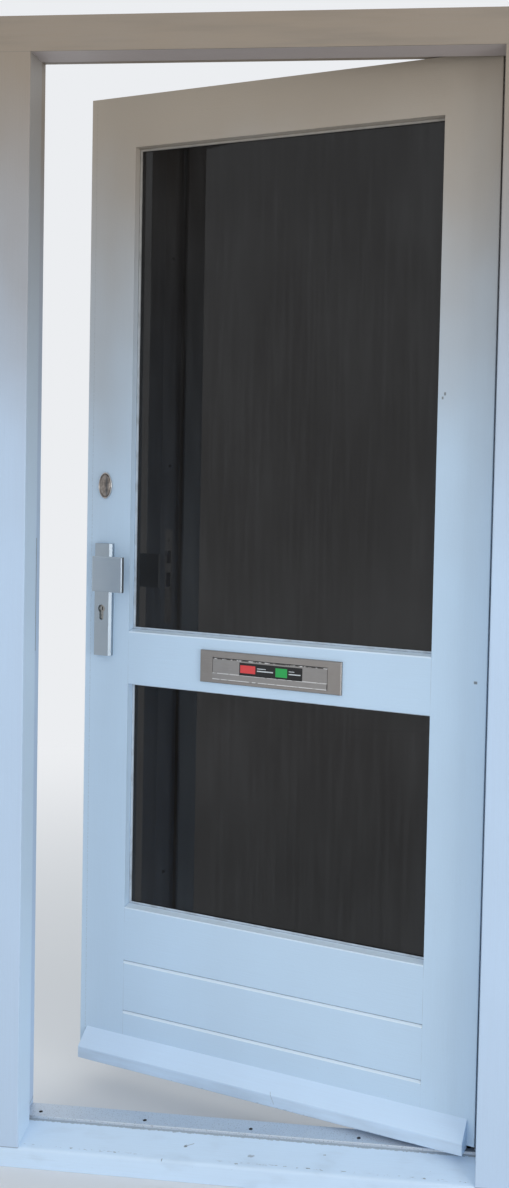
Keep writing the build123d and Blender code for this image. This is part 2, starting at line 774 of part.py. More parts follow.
for name, (low, high) in glass_openings.items():
    for side, depth in (("outer", outer_pane_depth), ("inner", inner_pane_depth)):
        with BuildPart() as pane:
            with BuildSketch(outer_face.offset(depth)):
                with Locations((leaf_middle, (low + high) / 2)):
                    Rectangle(rail_length + 2 * pane_edge, high - low + 2 * pane_edge)
            extrude(amount=pane_thickness)
        pane.part.label = f"{name}_{side}_pane"
        export_step(pane.part, f"parts/{name}_{side}_pane.step")

    spacer_inner = spacer_width - spacer_edge
    with BuildPart() as spacer:
        ring = opening_frame(low, high, spacer_edge, spacer_inner, spacer_inner)
        extrude(at_depth(ring, spacer_depth), amount=pane_space)
    spacer.part.label = f"{name}_spacer"
    export_step(spacer.part, f"parts/{name}_spacer.step")

    with BuildPart() as tape:
        ring = opening_frame(low, high, pane_edge, sealant_sight, ledge_back)
        extrude(at_depth(ring, glass_lip), amount=tape_thickness)
        ring = opening_frame(low, high, pane_edge, 0, 0)
        extrude(at_depth(ring, inner_tape_depth), amount=tape_thickness)
    tape.part.label = f"{name}_glazing_tape"
    export_step(tape.part, f"parts/{name}_glazing_tape.step")

    # Outside the glass, a sloping ledge bead covers the bottom of the opening
    with BuildPart() as ledge_bead:
        with BuildSketch(leaf_section(lock_stile_line - ledge_end_gap)):
            with BuildLine():
                Polyline((0, low), (glass_lip, low), (glass_lip, low + ledge_back),
                         (0, low + ledge_front), close=True)
            make_face()
        extrude(amount=rail_length - 2 * ledge_end_gap)
    ledge_bead.part.label = f"{name}_ledge_bead"
    export_step(ledge_bead.part, f"parts/{name}_ledge_bead.step")

    # Inside, four beads with mitred ends and a bevelled arris
    middle = Vector(leaf_middle, (low + high) / 2)
    half_width = rail_length / 2
    half_height = (high - low) / 2
    for kind, reach, half_length in (("side", half_width, half_height), ("end", half_height, half_width)):
        with BuildPart() as beads:
            for turn in (0, 180):
                with BuildSketch(outer_face.offset(bead_depth)):
                    with Locations(Location((middle.X, middle.Y, 0), (0, 0, turn))):
                        if kind == "side":
                            Polygon((reach, -half_length), (reach, half_length),
                                    (reach + glass_rebate, half_length + glass_rebate),
                                    (reach + glass_rebate, -half_length - glass_rebate), align=None)
                        else:
                            Polygon((-half_length, reach), (half_length, reach),
                                    (half_length + glass_rebate, reach + glass_rebate),
                                    (-half_length - glass_rebate, reach + glass_rebate), align=None)
                extrude(amount=leaf_thickness - bead_depth)
            lengthwise = beads.edges().filter_by(Axis((0, 0, 0), up if kind == "side" else along))
            room_edges = lengthwise.group_by(Axis((0, 0, 0), inward))[-1]
            opening_centre = outer_face.from_local_coords((middle.X, middle.Y, leaf_thickness))
            chamfer(room_edges.sort_by_distance(opening_centre)[:2], bead_chamfer)
        beads.part.label = f"{name}_{kind}_beads"
        export_step(beads.part, f"parts/{name}_{kind}_beads.step")

# Weatherboard across the foot of the leaf, sloped on top and grooved below against drips
board_hinge_end = rebate_width - edge_gap + board_hinge_gap
board_lock_end = leaf_width - (rebate_width - edge_gap) - board_lock_gap

with BuildPart() as weatherboard:
    with BuildSketch(leaf_section(board_lock_end)) as section:
        with BuildLine():
            Polyline((0, board_bottom), (0, board_top), (-board_projection, board_ridge),
                     (-board_projection, board_bottom), close=True)
        make_face()
        fillet(section.vertices().sort_by(Axis.X)[:2], board_rounding)
        with Locations((drip_inset - board_projection, board_bottom)):
            Circle(drip_radius, mode=Mode.SUBTRACT)
    extrude(amount=board_lock_end - board_hinge_end)
weatherboard.part.label = "weatherboard"
export_step(weatherboard.part, "parts/weatherboard.step")

# Bottom seal under the leaf, clear of the threshold strip
with BuildPart() as bottom_seal:
    with BuildSketch(leaf_section(leaf_width - bottom_seal_end_gap)):
        with Locations((mid_depth, leaf_bottom)):
            Rectangle(bottom_seal_width, floor_gap - bottom_seal_clearance, align=(Align.CENTER, Align.MAX))
    extrude(amount=leaf_width - 2 * bottom_seal_end_gap)
bottom_seal.part.label = "bottom_seal"
export_step(bottom_seal.part, "parts/bottom_seal.step")

# Lock case: a thin box behind the forend, open where the bolts slide out
case_rear = leaf_width - case_depth
with BuildPart() as lock_case:
    with BuildSketch(lock_edge):
        with Locations((mid_depth, forend_centre)):
            Rectangle(forend_width, forend_height)
    extrude(amount=forend_thickness)
    with BuildSketch(lock_edge):
        with Locations((mid_depth, case_centre)):
            Rectangle(case_thickness, case_top - case_bottom)
    extrude(amount=case_depth)
    with BuildSketch(lock_edge.offset(forend_thickness)):
        with Locations((mid_depth, case_centre)):
            Rectangle(case_thickness - 2 * case_wall, case_top - case_bottom - 2 * case_wall)
    extrude(amount=case_depth - forend_thickness - case_wall, mode=Mode.SUBTRACT)
    with BuildSketch(lock_edge):
        for height, tall, throw in strike_bolts:
            with Locations((mid_depth, height)):
                Rectangle(bolt_thickness + 2 * bolt_clearance, tall + 2 * bolt_clearance)
    extrude(amount=forend_thickness, mode=Mode.SUBTRACT)
    extrude(cylinder_outline(0, cylinder_clearance), amount=leaf_thickness, mode=Mode.SUBTRACT)
    with BuildSketch(outer_face):
        with Locations((lock_line, follower_height)):
            Circle(follower_radius + running_clearance)
    extrude(amount=leaf_thickness, mode=Mode.SUBTRACT)
    with Locations(*forend_seats):
        CounterSinkHole(pilot_radius, sink_radius, depth=forend_thickness)
lock_case.part.label = "lock_case"
export_step(lock_case.part, "parts/lock_case.step")

# Wood screws of the forend and of the hinges on the leaf
with BuildPart() as leaf_screws:
    with Locations(*forend_seats, *leaf_seats):
        add(wood_screw)
leaf_screws.part.label = "leaf_screws"
export_step(leaf_screws.part, "parts/leaf_screws.step")

# Latch bolt, sprung out and bevelled towards the street, with a window for the follower's arm
latch_back = leaf_width + latch_throw - latch_body
bolt_outer = mid_depth - bolt_thickness / 2
bolt_inner = mid_depth + bolt_thickness / 2
with BuildPart() as latch_bolt:
    with BuildSketch(leaf_plan(latch_centre - latch_height / 2)):
        with BuildLine():
            Polyline((lock_line + arm_window_width, -bolt_outer), (leaf_width, -bolt_outer),
                     (leaf_width + latch_throw, latch_flat - bolt_inner),
                     (leaf_width + latch_throw, -bolt_inner),
                     (lock_line + arm_window_width, -bolt_inner), close=True)
        make_face()
    extrude(amount=latch_height)
    with BuildSketch(outer_face.offset(mid_depth - latch_tail_thickness / 2)):
        with Locations((latch_back, latch_centre)):
            Rectangle(lock_line + arm_window_width - latch_back, latch_height, align=(Align.MIN, Align.CENTER))
        with Locations((lock_line, latch_centre - latch_height / 2)):
            Rectangle(arm_window_width, follower_height + arm_reach + arm_clearance
                      - latch_centre + latch_height / 2, align=(Align.CENTER, Align.MIN), mode=Mode.SUBTRACT)
    extrude(amount=latch_tail_thickness)
latch_bolt.part.label = "latch_bolt"
export_step(latch_bolt.part, "parts/latch_bolt.step")

# Deadbolt, drawn back flush with the forend
with BuildPart() as deadbolt:
    with BuildSketch(lock_edge):
        with Locations((mid_depth, deadbolt_centre)):
            Rectangle(bolt_thickness, deadbolt_height)
    extrude(amount=deadbolt_length)
deadbolt.part.label = "deadbolt"
export_step(deadbolt.part, "parts/deadbolt.step")

# Follower: the hub that the spindle turns, with an arm up into the latch's tail
with BuildPart() as lock_follower:
    with BuildSketch(outer_face.offset(mid_depth - latch_tail_thickness / 2)):
        with Locations((lock_line, follower_height)):
            Rectangle(arm_width, arm_reach, align=(Align.CENTER, Align.MIN))
    extrude(amount=latch_tail_thickness)
    with BuildSketch(outer_face.offset(mid_depth - case_thickness / 2)):
        with Locations((lock_line, follower_height)):
            Circle(follower_radius)
    extrude(amount=case_thickness)
    with BuildSketch(outer_face.offset(mid_depth - case_thickness / 2)):
        with Locations((lock_line, follower_height)):
            Rectangle(spindle_size + 2 * spindle_clearance, spindle_size + 2 * spindle_clearance)
    extrude(amount=case_thickness, mode=Mode.SUBTRACT)
lock_follower.part.label = "lock_follower"
export_step(lock_follower.part, "parts/lock_follower.step")

# Key cylinder: body with a gap for the cam, and the plug that the key turns
cylinder_outer = cylinder_recess - outside_plate_thickness
cylinder_inner = leaf_thickness + inside_plate_thickness
with BuildPart() as cylinder_body:
    extrude(cylinder_outline(cylinder_outer, 0), amount=cylinder_inner - cylinder_outer)
    with BuildSketch(outer_face.offset(mid_depth - cam_thickness / 2 - cam_clearance)):
        with Locations((lock_line, cylinder_height - cam_radius - cam_clearance)):
            Rectangle(3 * cylinder_radius, 2 * cam_radius, align=(Align.CENTER, Align.MIN))
    extrude(amount=cam_thickness + 2 * cam_clearance, mode=Mode.SUBTRACT)
    with BuildSketch(outer_face.offset(cylinder_outer)):
        with Locations((lock_line, cylinder_height)):
            Circle(plug_radius)
    extrude(amount=cylinder_inner - cylinder_outer, mode=Mode.SUBTRACT)
cylinder_body.part.label = "cylinder_body"
export_step(cylinder_body.part, "parts/cylinder_body.step")

with BuildPart() as cylinder_plug:
    with BuildSketch(outer_face.offset(cylinder_outer)):
        with Locations((lock_line, cylinder_height)):
            Circle(plug_radius - running_clearance)
    extrude(amount=cylinder_inner - cylinder_outer)
    with BuildSketch(outer_face.offset(mid_depth - cam_thickness / 2)):
        with Locations((lock_line, cylinder_height)):
            Rectangle(cam_width, cam_radius, align=(Align.CENTER, Align.MAX))
            Circle(cam_radius, mode=Mode.INTERSECT)
    extrude(amount=cam_thickness)
    for depth, reach in ((cylinder_outer, key_slot_depth), (cylinder_inner, -key_slot_depth)):
        with BuildSketch(outer_face.offset(depth)):
            with Locations((lock_line, cylinder_height)):
                Rectangle(key_slot_width, key_slot_height)
        extrude(amount=reach, mode=Mode.SUBTRACT)
cylinder_plug.part.label = "cylinder_plug"
export_step(cylinder_plug.part, "parts/cylinder_plug.step")

# Outside plate with sloped sides
plate_height = plate_top - plate_bottom
plate_centre = (plate_top + plate_bottom) / 2
half_plate = plate_width / 2
half_front = half_plate - outside_plate_chamfer_in
shoulder = outside_plate_thickness - outside_plate_chamfer_back
with BuildPart() as outside_plate:
    with BuildSketch(leaf_plan(plate_bottom)):
        with BuildLine():
            Polyline((lock_line - half_plate, 0), (lock_line - half_plate, shoulder),
                     (lock_line - half_front, outside_plate_thickness),
                     (lock_line + half_front, outside_plate_thickness),
                     (lock_line + half_plate, shoulder), (lock_line + half_plate, 0), close=True)
        make_face()
    extrude(amount=plate_height)
    extrude(cylinder_outline(-outside_plate_thickness, cylinder_clearance),
            amount=outside_plate_thickness, mode=Mode.SUBTRACT)
    with Locations(*seats_on_leaf(0, *plate_bolt_places)):
        Hole(plate_bolt_radius + screw_clearance, depth=plate_bolt_grip)
outside_plate.part.label = "outside_plate"
export_step(outside_plate.part, "parts/outside_plate.step")

# Fixed square knob on a cranked neck, set over towards the hinges
knob_line = lock_line - knob_offset
knob_back = knob_thickness - knob_front
with BuildPart() as knob:
    with BuildSketch(outer_face.offset(-outside_plate_thickness)):
        with Locations((lock_line, knob_height)):
            RectangleRounded(neck_width, neck_height, plate_corner)
    with BuildSketch(outer_face.offset(knob_back)):
        with Locations((lock_line - neck_crank, knob_height)):
            RectangleRounded(neck_width, neck_height, plate_corner)
    loft()
    with BuildSketch(outer_face.offset(-knob_front)) as pad:
        with Locations((knob_line, knob_height)):
            Rectangle(knob_size, knob_size)
    extrude(amount=knob_thickness)
    pad_front = knob.faces().sort_by(Axis((0, 0, 0), inward))[0]
    chamfer(pad_front.edges(), knob_bevel)
knob.part.label = "knob"
export_step(knob.part, "parts/knob.step")

# Inside plate, bolts through the stile, spindle and lever
spindle_corner = spindle_size / 2 / cos(radians(45))
with BuildPart() as inside_plate:
    with BuildSketch(outer_face.offset(leaf_thickness)):
        with Locations((lock_line, plate_centre)):
            RectangleRounded(plate_width, plate_height, plate_corner)
    extrude(amount=inside_plate_thickness)
    extrude(cylinder_outline(leaf_thickness, cylinder_clearance),
            amount=inside_plate_thickness, mode=Mode.SUBTRACT)
    with BuildSketch(outer_face.offset(leaf_thickness)):
        with Locations((lock_line, follower_height)):
            Circle(spindle_corner + spindle_play)
    extrude(amount=inside_plate_thickness, mode=Mode.SUBTRACT)
    with BuildSketch(outer_face.offset(leaf_thickness + inside_plate_thickness - lever_seat)):
        with Locations((lock_line, follower_height)):
            Circle(lever_radius + running_clearance)
    extrude(amount=lever_seat, mode=Mode.SUBTRACT)
    with Locations(*seats_on_leaf(leaf_thickness + inside_plate_thickness, *plate_bolt_places)):
        CounterSinkHole(plate_bolt_radius + screw_clearance, plate_bolt_head_radius + screw_clearance,
                        depth=inside_plate_thickness)
inside_plate.part.label = "inside_plate"
export_step(inside_plate.part, "parts/inside_plate.step")

plate_bolt = countersunk_screw(plate_bolt_head_radius, plate_bolt_radius,
                               leaf_thickness + inside_plate_thickness + plate_bolt_grip - screw_clearance)
with BuildPart() as plate_bolts:
    with Locations(*seats_on_leaf(leaf_thickness + inside_plate_thickness, *plate_bolt_places)):
        add(plate_bolt)
plate_bolts.part.label = "plate_bolts"
export_step(plate_bolts.part, "parts/plate_bolts.step")

lever_base = leaf_thickness + inside_plate_thickness - lever_seat
lever_out = leaf_thickness + inside_plate_thickness + lever_stand
spindle_start = mid_depth - case_thickness / 2
with BuildPart() as lever_handle:
    with BuildLine(leaf_plan(follower_height)):
        FilletPolyline((lock_line, -lever_base), (lock_line, -lever_out),
                       (lock_line - lever_length, -lever_out), radius=lever_bend)
    with BuildSketch(outer_face.offset(lever_base)):
        with Locations((lock_line, follower_height)):
            Circle(lever_radius)
    sweep()
    with BuildSketch(outer_face.offset(lever_base)):
        with Locations((lock_line, follower_height)):
            Rectangle(spindle_size + 2 * spindle_clearance, spindle_size + 2 * spindle_clearance)
    extrude(amount=socket_depth, mode=Mode.SUBTRACT)
lever_handle.part.label = "lever_handle"
export_step(lever_handle.part, "parts/lever_handle.step")

with BuildPart() as spindle:
    with BuildSketch(outer_face.offset(spindle_start)):
        with Locations((lock_line, follower_height)):
            Rectangle(spindle_size, spindle_size)
    extrude(amount=lever_base + socket_depth - spindle_clearance - spindle_start)
spindle.part.label = "spindle"
export_step(spindle.part, "parts/spindle.step")

# Oval domed rosette above the plate
with BuildPart() as oval_rosette:
    with BuildSketch(outer_face):
        with Locations((leaf_width - rosette_offset, rosette_height)):
            Ellipse(rosette_width / 2, rosette_length / 2)
    extrude(amount=-rosette_thickness)
    rosette_front = oval_rosette.faces().sort_by(Axis((0, 0, 0), inward))[0]
    fillet(rosette_front.edges(), rosette_dome)
oval_rosette.part.label = "oval_rosette"
export_step(oval_rosette.part, "parts/oval_rosette.step")

# Letterplate: a bevelled plate with a window, bored across at the top for the flap's pivots
pivot_height = flap_top - barrel_radius
pivot_depth = barrel_radius - letter_thickness + flap_gap / 2
window_height = flap_top - flap_bottom + 2 * flap_gap

with BuildPart() as letterplate:
    with BuildSketch(outer_face):
        with Locations((letter_centre, letter_height_line)):
            Rectangle(letter_width, letter_height)
    extrude(amount=-letter_thickness)
    plate_front = letterplate.faces().sort_by(Axis((0, 0, 0), inward))[0]
    chamfer(plate_front.edges(), letter_bevel)
    with BuildSketch(outer_face):
        with Locations((letter_centre, slot_centre)):
            Rectangle(flap_width + 2 * flap_gap, window_height)
    extrude(amount=-letter_thickness, mode=Mode.SUBTRACT)
    with BuildSketch(leaf_section(letter_centre)):
        with Locations((pivot_depth, pivot_height)):
            Circle(pivot_radius + running_clearance)
    extrude(amount=flap_width / 2 + pivot_length + 2 * flap_gap, both=True, mode=Mode.SUBTRACT)
    with Locations(*seats_on_leaf(0, *letter_bolt_places)):
        Hole(letter_bolt_radius + screw_clearance, depth=letter_bolt_grip)
letterplate.part.label = "letterplate"
export_step(letterplate.part, "parts/letterplate.step")

# Flap that lifts outwards: a barrel along its top, a grip along its foot and a pivot at each end
with BuildPart() as letter_flap:
    with BuildSketch(leaf_section(letter_centre)):
        with Locations((-letter_thickness, flap_bottom)):
            Rectangle(flap_thickness, pivot_height - flap_bottom, align=(Align.MIN, Align.MIN))
        with Locations((pivot_depth, pivot_height)):
            Circle(barrel_radius)
        with Locations((-letter_thickness - grip_stand, flap_bottom)):
            Rectangle(flap_thickness, grip_height, align=(Align.MIN, Align.MIN))
    extrude(amount=flap_width / 2, both=True)
    with BuildSketch(leaf_section(letter_centre)):
        with Locations((pivot_depth, pivot_height)):
            Circle(pivot_radius)
    extrude(amount=flap_width / 2 + pivot_length, both=True)
letter_flap.part.label = "letter_flap"
export_step(letter_flap.part, "parts/letter_flap.step")

# Thin label on the flap, above its grip
label_bottom = flap_bottom + grip_height + label_foot_gap
with BuildPart() as flap_label:
    with BuildSketch(outer_face.offset(-letter_thickness)):
        with Locations((letter_centre - label_offset, label_bottom)):
            Rectangle(label_width, flap_top - label_head_gap - label_bottom, align=(Align.CENTER, Align.MIN))
    extrude(amount=-label_thickness)
flap_label.part.label = "flap_label"
export_step(flap_label.part, "parts/flap_label.step")

# Inside: a plain plate with a window, and a flap that hangs over it from two lugs
inner_face_depth = leaf_thickness + inner_plate_thickness
inner_flap_width = slot_width + 2 * inner_flap_overlap
inner_flap_bottom = slot_centre - slot_height / 2 - inner_flap_overlap
inner_pivot_height = slot_centre + slot_height / 2 + inner_flap_overlap
inner_pivot_depth = inner_face_depth + inner_flap_air + barrel_radius
lug_line = inner_flap_width / 2 + flap_gap / 2
lug_size = 2 * (pivot_radius + lug_margin)

with BuildPart() as inner_letter_plate:
    with BuildSketch(outer_face.offset(leaf_thickness)):
        with Locations((letter_centre, letter_height_line)):
            Rectangle(letter_width, letter_height)
        with Locations((letter_centre, slot_centre)):
            Rectangle(slot_width, slot_height, mode=Mode.SUBTRACT)
    extrude(amount=inner_plate_thickness)
    for side in (-1, 1):
        with BuildSketch(leaf_section(letter_centre + side * (lug_line + lug_width / 2))):
            with Locations((inner_face_depth, inner_pivot_height)):
                Rectangle(inner_flap_air + barrel_radius + lug_size / 2, lug_size,
                          align=(Align.MIN, Align.CENTER))
            with Locations((inner_pivot_depth, inner_pivot_height)):
                Circle(pivot_radius + running_clearance, mode=Mode.SUBTRACT)
        extrude(amount=lug_width / 2, both=True)
    with Locations(*seats_on_leaf(inner_face_depth, *letter_bolt_places)):
        CounterSinkHole(letter_bolt_radius + screw_clearance, letter_bolt_head_radius + screw_clearance,
                        depth=inner_plate_thickness)
inner_letter_plate.part.label = "inner_letter_plate"
export_step(inner_letter_plate.part, "parts/inner_letter_plate.step")

with BuildPart() as inner_letter_flap:
    with BuildSketch(leaf_section(letter_centre)):
        with Locations((inner_pivot_depth, inner_pivot_height)):
            Circle(barrel_radius)
        with Locations((inner_face_depth + inner_flap_air, inner_flap_bottom)):
            Rectangle(inner_flap_thickness, inner_pivot_height - inner_flap_bottom,
                      align=(Align.MIN, Align.MIN))
    extrude(amount=inner_flap_width / 2, both=True)
    with BuildSketch(leaf_section(letter_centre)):
        with Locations((inner_pivot_depth, inner_pivot_height)):
            Circle(pivot_radius)
    extrude(amount=inner_flap_width / 2 + pivot_length, both=True)
inner_letter_flap.part.label = "inner_letter_flap"
export_step(inner_letter_flap.part, "parts/inner_letter_flap.step")

letter_bolt = countersunk_screw(letter_bolt_head_radius, letter_bolt_radius,
                                inner_face_depth + letter_bolt_grip - screw_clearance)
with BuildPart() as letter_bolts:
    with Locations(*seats_on_leaf(inner_face_depth, *letter_bolt_places)):
        add(letter_bolt)
letter_bolts.part.label = "letter_bolts"
export_step(letter_bolts.part, "parts/letter_bolts.step")
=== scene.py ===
from functools import reduce

import bmesh
import bpy
import numpy as np
from mathutils import Matrix


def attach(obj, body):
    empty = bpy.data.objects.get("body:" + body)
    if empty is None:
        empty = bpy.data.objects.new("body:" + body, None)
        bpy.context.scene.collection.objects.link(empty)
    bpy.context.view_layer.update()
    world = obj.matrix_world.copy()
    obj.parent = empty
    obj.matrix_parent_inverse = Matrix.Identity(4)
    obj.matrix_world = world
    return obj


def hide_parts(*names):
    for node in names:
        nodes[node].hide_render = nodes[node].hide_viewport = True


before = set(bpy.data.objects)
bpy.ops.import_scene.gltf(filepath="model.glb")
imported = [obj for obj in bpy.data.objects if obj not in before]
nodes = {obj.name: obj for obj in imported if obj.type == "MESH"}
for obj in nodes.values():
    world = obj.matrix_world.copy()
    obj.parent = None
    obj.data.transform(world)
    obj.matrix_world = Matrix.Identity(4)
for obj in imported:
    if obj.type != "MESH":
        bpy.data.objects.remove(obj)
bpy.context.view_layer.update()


# The view. The eye is two metres out in front, a little to the right and about as high as the oval
# rosette. The lens is shifted, because the picture is a tall 509 by 1188 cut from a wider one.
view = bpy.data.cameras.new("path_view")
view.lens, view.sensor_width = 33.5017, 36.0
view.shift_x, view.shift_y = -0.102462, -0.062193
view.clip_start, view.clip_end = 0.05, 100.0
eye = (0.4396766, -2.1194006, 1.3808843)
swing, tilt, roll = 0.0998443, -0.0375810, -0.0234774
viewer = bpy.data.objects.new("path_view", view)
viewer.matrix_world = (
    Matrix.Translation(eye)
    @ Matrix.Rotation(swing, 4, "Z")
    @ Matrix.Rotation(tilt, 4, "X")
    @ Matrix.Rotation(roll, 4, "Y")
    @ Matrix.Rotation(np.pi / 2, 4, "X")
)
bpy.context.scene.collection.objects.link(viewer)
bpy.context.scene.camera = viewer


# The daylight. A dull sky, brighter overhead, lights everything a little. Two wide soft lamps out in
# front do the rest: a weak one on the left, which nothing mirrors, and a strong one on the right.
class Signal:
    """A number, vector or colour on its way through the nodes of a finish. Arithmetic lays the nodes for it.

    One without a socket carries nothing yet, and only lays the nodes that a finish starts from."""

    def __init__(self, tree, socket=None):
        self.tree, self.socket = tree, socket

    def node(self, kind, settings, sockets, gives=0):
        """Lays a node of that type: first its settings, then the values or links of its sockets."""
        laid = self.tree.nodes.new("ShaderNode" + kind)
        for name, value in settings.items():
            setattr(laid, name, value)
        for name, value in sockets.items():
            if isinstance(value, Signal):
                self.tree.links.new(value.socket, laid.inputs[name])
            else:
                laid.inputs[name].default_value = value
        return Signal(self.tree, laid.outputs[gives])

    def maths(self, operation, *others):
        return self.node("Math", {"operation": operation}, dict(enumerate((self, *others))))

    def __add__(self, other):
        return self.maths("ADD", other)

    def __sub__(self, other):
        return self.maths("SUBTRACT", other)

    def __rsub__(self, other):
        return self.maths("MULTIPLY_ADD", -1.0, other)

    def __mul__(self, other):
        return self.maths("MULTIPLY", other)

    def __or__(self, other):
        return self.maths("MAXIMUM", other)

    def __abs__(self):
        return self.maths("ABSOLUTE")

    __radd__, __rmul__ = __add__, __mul__

    def rises(self, low, high):
        """0 below low, 1 above high, and a smooth S between."""
        limits = {"Value": self, "From Min": low, "From Max": high}
        return self.node("MapRange", {"interpolation_type": "SMOOTHSTEP"}, limits)

    def between(self, low, high, soft):
        """1 from low to high and 0 outside, with soft edges."""
        return self.rises(low - soft, low) * (1 - self.rises(high, high + soft))

    def near(self, value, half, soft):
        """1 within half of a value, falling to 0 over soft."""
        return 1 - abs(self - value).rises(half, half + soft)

    def blend(self, first, second):
        """The first colour where this is 0 and the second where it is 1."""
        return self.node("Mix", {"data_type": "RGBA"}, {0: self, 6: first, 7: second}, 2)

    def axes(self):
        """A place's three numbers."""
        split = self.node("SeparateXYZ", {}, {0: self}).socket.node
        return [Signal(self.tree, output) for output in split.outputs]

    def cloud(self, *lump, detail=3.0):
        """Noise from 0 to 1 whose lumps are this long, in metres: one length, or one for each axis."""
        across, along, up = lump * 3 if len(lump) == 1 else lump
        stretch = {"Vector": self, "Scale": (1 / across, 1 / along, 1 / up)}
        place = self.node("Mapping", {"vector_type": "POINT"}, stretch)
        return self.node("TexNoise", {}, {"Vector": place, "Scale": 1.0, "Detail": detail})

    def grain(self, run, fine, drawn, detail=3.0):
        """The same noise drawn out on the run's axis and fine on the other two."""
        lump = [fine, fine, fine]
        lump[run] = drawn
        return self.cloud(*lump, detail=detail)

    def relief(self, depth):
        """The surface's own small hills, where 1 stands that far above 0."""
        return self.node("Bump", {}, {"Height": self, "Distance": depth, "Strength": 1.0})

    def looked_at(self):
        """1 for rays from the eye, a gloss or a glass, and 0 for rays that carry light."""
        rays = self.node("LightPath", {}, {}).socket.node.outputs
        kinds = ("Is Camera Ray", "Is Glossy Ray", "Is Transmission Ray")
        eye_ray, gloss_ray, glass_ray = (Signal(self.tree, rays[kind]) for kind in kinds)
        return eye_ray | gloss_ray | glass_ray


def colour(red, green, blue):
    """The light that a painter's colour card of 0 to 255 gives back, as the shader counts it."""
    card = np.array([red, green, blue]) / 255
    light = np.where(card > 0.04045, ((card + 0.055) / 1.055) ** 2.4, card / 12.92)
    return (*light.tolist(), 1.0)


pale_air = colour(236, 238, 241)
sky = bpy.data.worlds.new("dull_sky")
sky.use_nodes = True
sky.node_tree.nodes.clear()
overcast = Signal(sky.node_tree)
backdrop = overcast.node("Background", {}, {"Color": pale_air, "Strength": 1.0})
upward = overcast.node("TexCoord", {}, {}, "Generated").axes()[2]
glow = 0.31 + upward.rises(-0.5, 0.9) * 0.53
dull = overcast.node("Background", {}, {"Color": (0.95, 0.98, 1.0, 1.0), "Strength": glow})
air = overcast.node("MixShader", {}, {0: overcast.looked_at(), 1: dull, 2: backdrop})
sky_out = sky.node_tree.nodes.new("ShaderNodeOutputWorld")
sky.node_tree.links.new(air.socket, sky_out.inputs["Surface"])
bpy.context.scene.world = sky


def hang_lamp(name, place, aim, width, height, power):
    """A soft box of that width and height in a faint blue, whose face looks from its place towards its aim."""
    lamp = bpy.data.lights.new(name, "AREA")
    lamp.shape, lamp.size, lamp.size_y = "RECTANGLE", width, height
    lamp.energy, lamp.color = power, (0.97, 0.985, 1.0)
    hung = bpy.data.objects.new(name, lamp)
    back = np.array(place) - np.array(aim)
    back = back / np.linalg.norm(back)
    side = np.cross((0, 0, 1), back)
    side = side / np.linalg.norm(side)
    faced = np.stack([side, np.cross(back, side), back], axis=1)
    hung.matrix_world = Matrix.Translation(place) @ Matrix(faced.tolist()).to_4x4()
    bpy.context.scene.collection.objects.link(hung)
    return hung


street = hang_lamp("street_side", (-1.6, -4.4, 1.5), (0.0, 0.0, 0.9), 3.2, 2.4, 30.0)
street.visible_glossy = False
hang_lamp("garden_side", (4.4, -3.6, 1.6), (-0.4, 0.1, 0.9), 3.0, 2.4, 107.0)


# The floor. A plain pale screed a hair below the sill. It keeps the shadow of the door, and from about
# a metre off it fades into the air, so that no far edge shows.
screed = bpy.data.materials.new("pale_floor")
screed.use_nodes = True
screed.node_tree.nodes.clear()
ground = Signal(screed.node_tree)
spot = ground.node("TexCoord", {}, {}, "Object")
far = ground.node("VectorMath", {"operation": "LENGTH"}, {0: spot}, 1).rises(0.9, 3.6)
matt = ground.node("BsdfDiffuse", {}, {"Color": colour(228, 230, 233)})
haze = ground.node("Emission", {}, {"Color": pale_air, "Strength": 1.0})
faded = ground.node("MixShader", {}, {0: far * ground.looked_at(), 1: matt, 2: haze})
screed_out = screed.node_tree.nodes.new("ShaderNodeOutputMaterial")
screed.node_tree.links.new(faded.socket, screed_out.inputs["Surface"])

reach, level = 30.0, -0.0004
floor_corners = [(-reach, -reach, level), (reach, -reach, level), (reach, reach, level), (-reach, reach, level)]
floor_mesh = bpy.data.meshes.new("pale_floor")
floor_mesh.from_pydata(floor_corners, [], [(0, 1, 2, 3)])
floor_mesh.materials.append(screed)
floor = bpy.data.objects.new("pale_floor", floor_mesh)
bpy.context.scene.collection.objects.link(floor)


# The frame. Two jambs, a head and a sloped sill of planed hardwood, tenoned together and painted satin
# white by brush, with painted light in its colour: cool and bright low down, and a painted shade that
# makes it greyer and warmer towards the head.
def make_finish(name, recipe):
    """A finish from recipe(place), which gives the shader's sockets from the place on the piece in metres."""
    finish = bpy.data.materials.new(name)
    finish.use_nodes = True
    tree = finish.node_tree
    shader = tree.nodes["Principled BSDF"]
    place = Signal(tree).node("TexCoord", {}, {}, "Object")
    for socket, value in recipe(place).items():
        if isinstance(value, Signal):
            tree.links.new(value.socket, shader.inputs[socket])
        else:
            shader.inputs[socket].default_value = value
    return finish


def coat(finish, *names):
    """Gives the named pieces their finish."""
    for name in names:
        for slot in nodes[name].material_slots:
            slot.material = finish


def any_of(marks):
    """The strongest of several marks at each place."""
    return reduce(Signal.__or__, marks)


def knocks(across, up, rows):
    """Small dents, one for each row: its middle, half size and soft edge across, the same three up, and its
    strength."""
    return any_of(across.near(*row[:3]) * up.near(*row[3:6]) * row[6] for row in rows)


# Between these heights a painted shade turns paint and sealant greyer and warmer.
turning = (1.15, 2.2)  # the heights between which the tone of paint and sealant turns warm
dirt_and_shade_grey, stroke_grey = colour(92, 90, 86), colour(146, 152, 160)


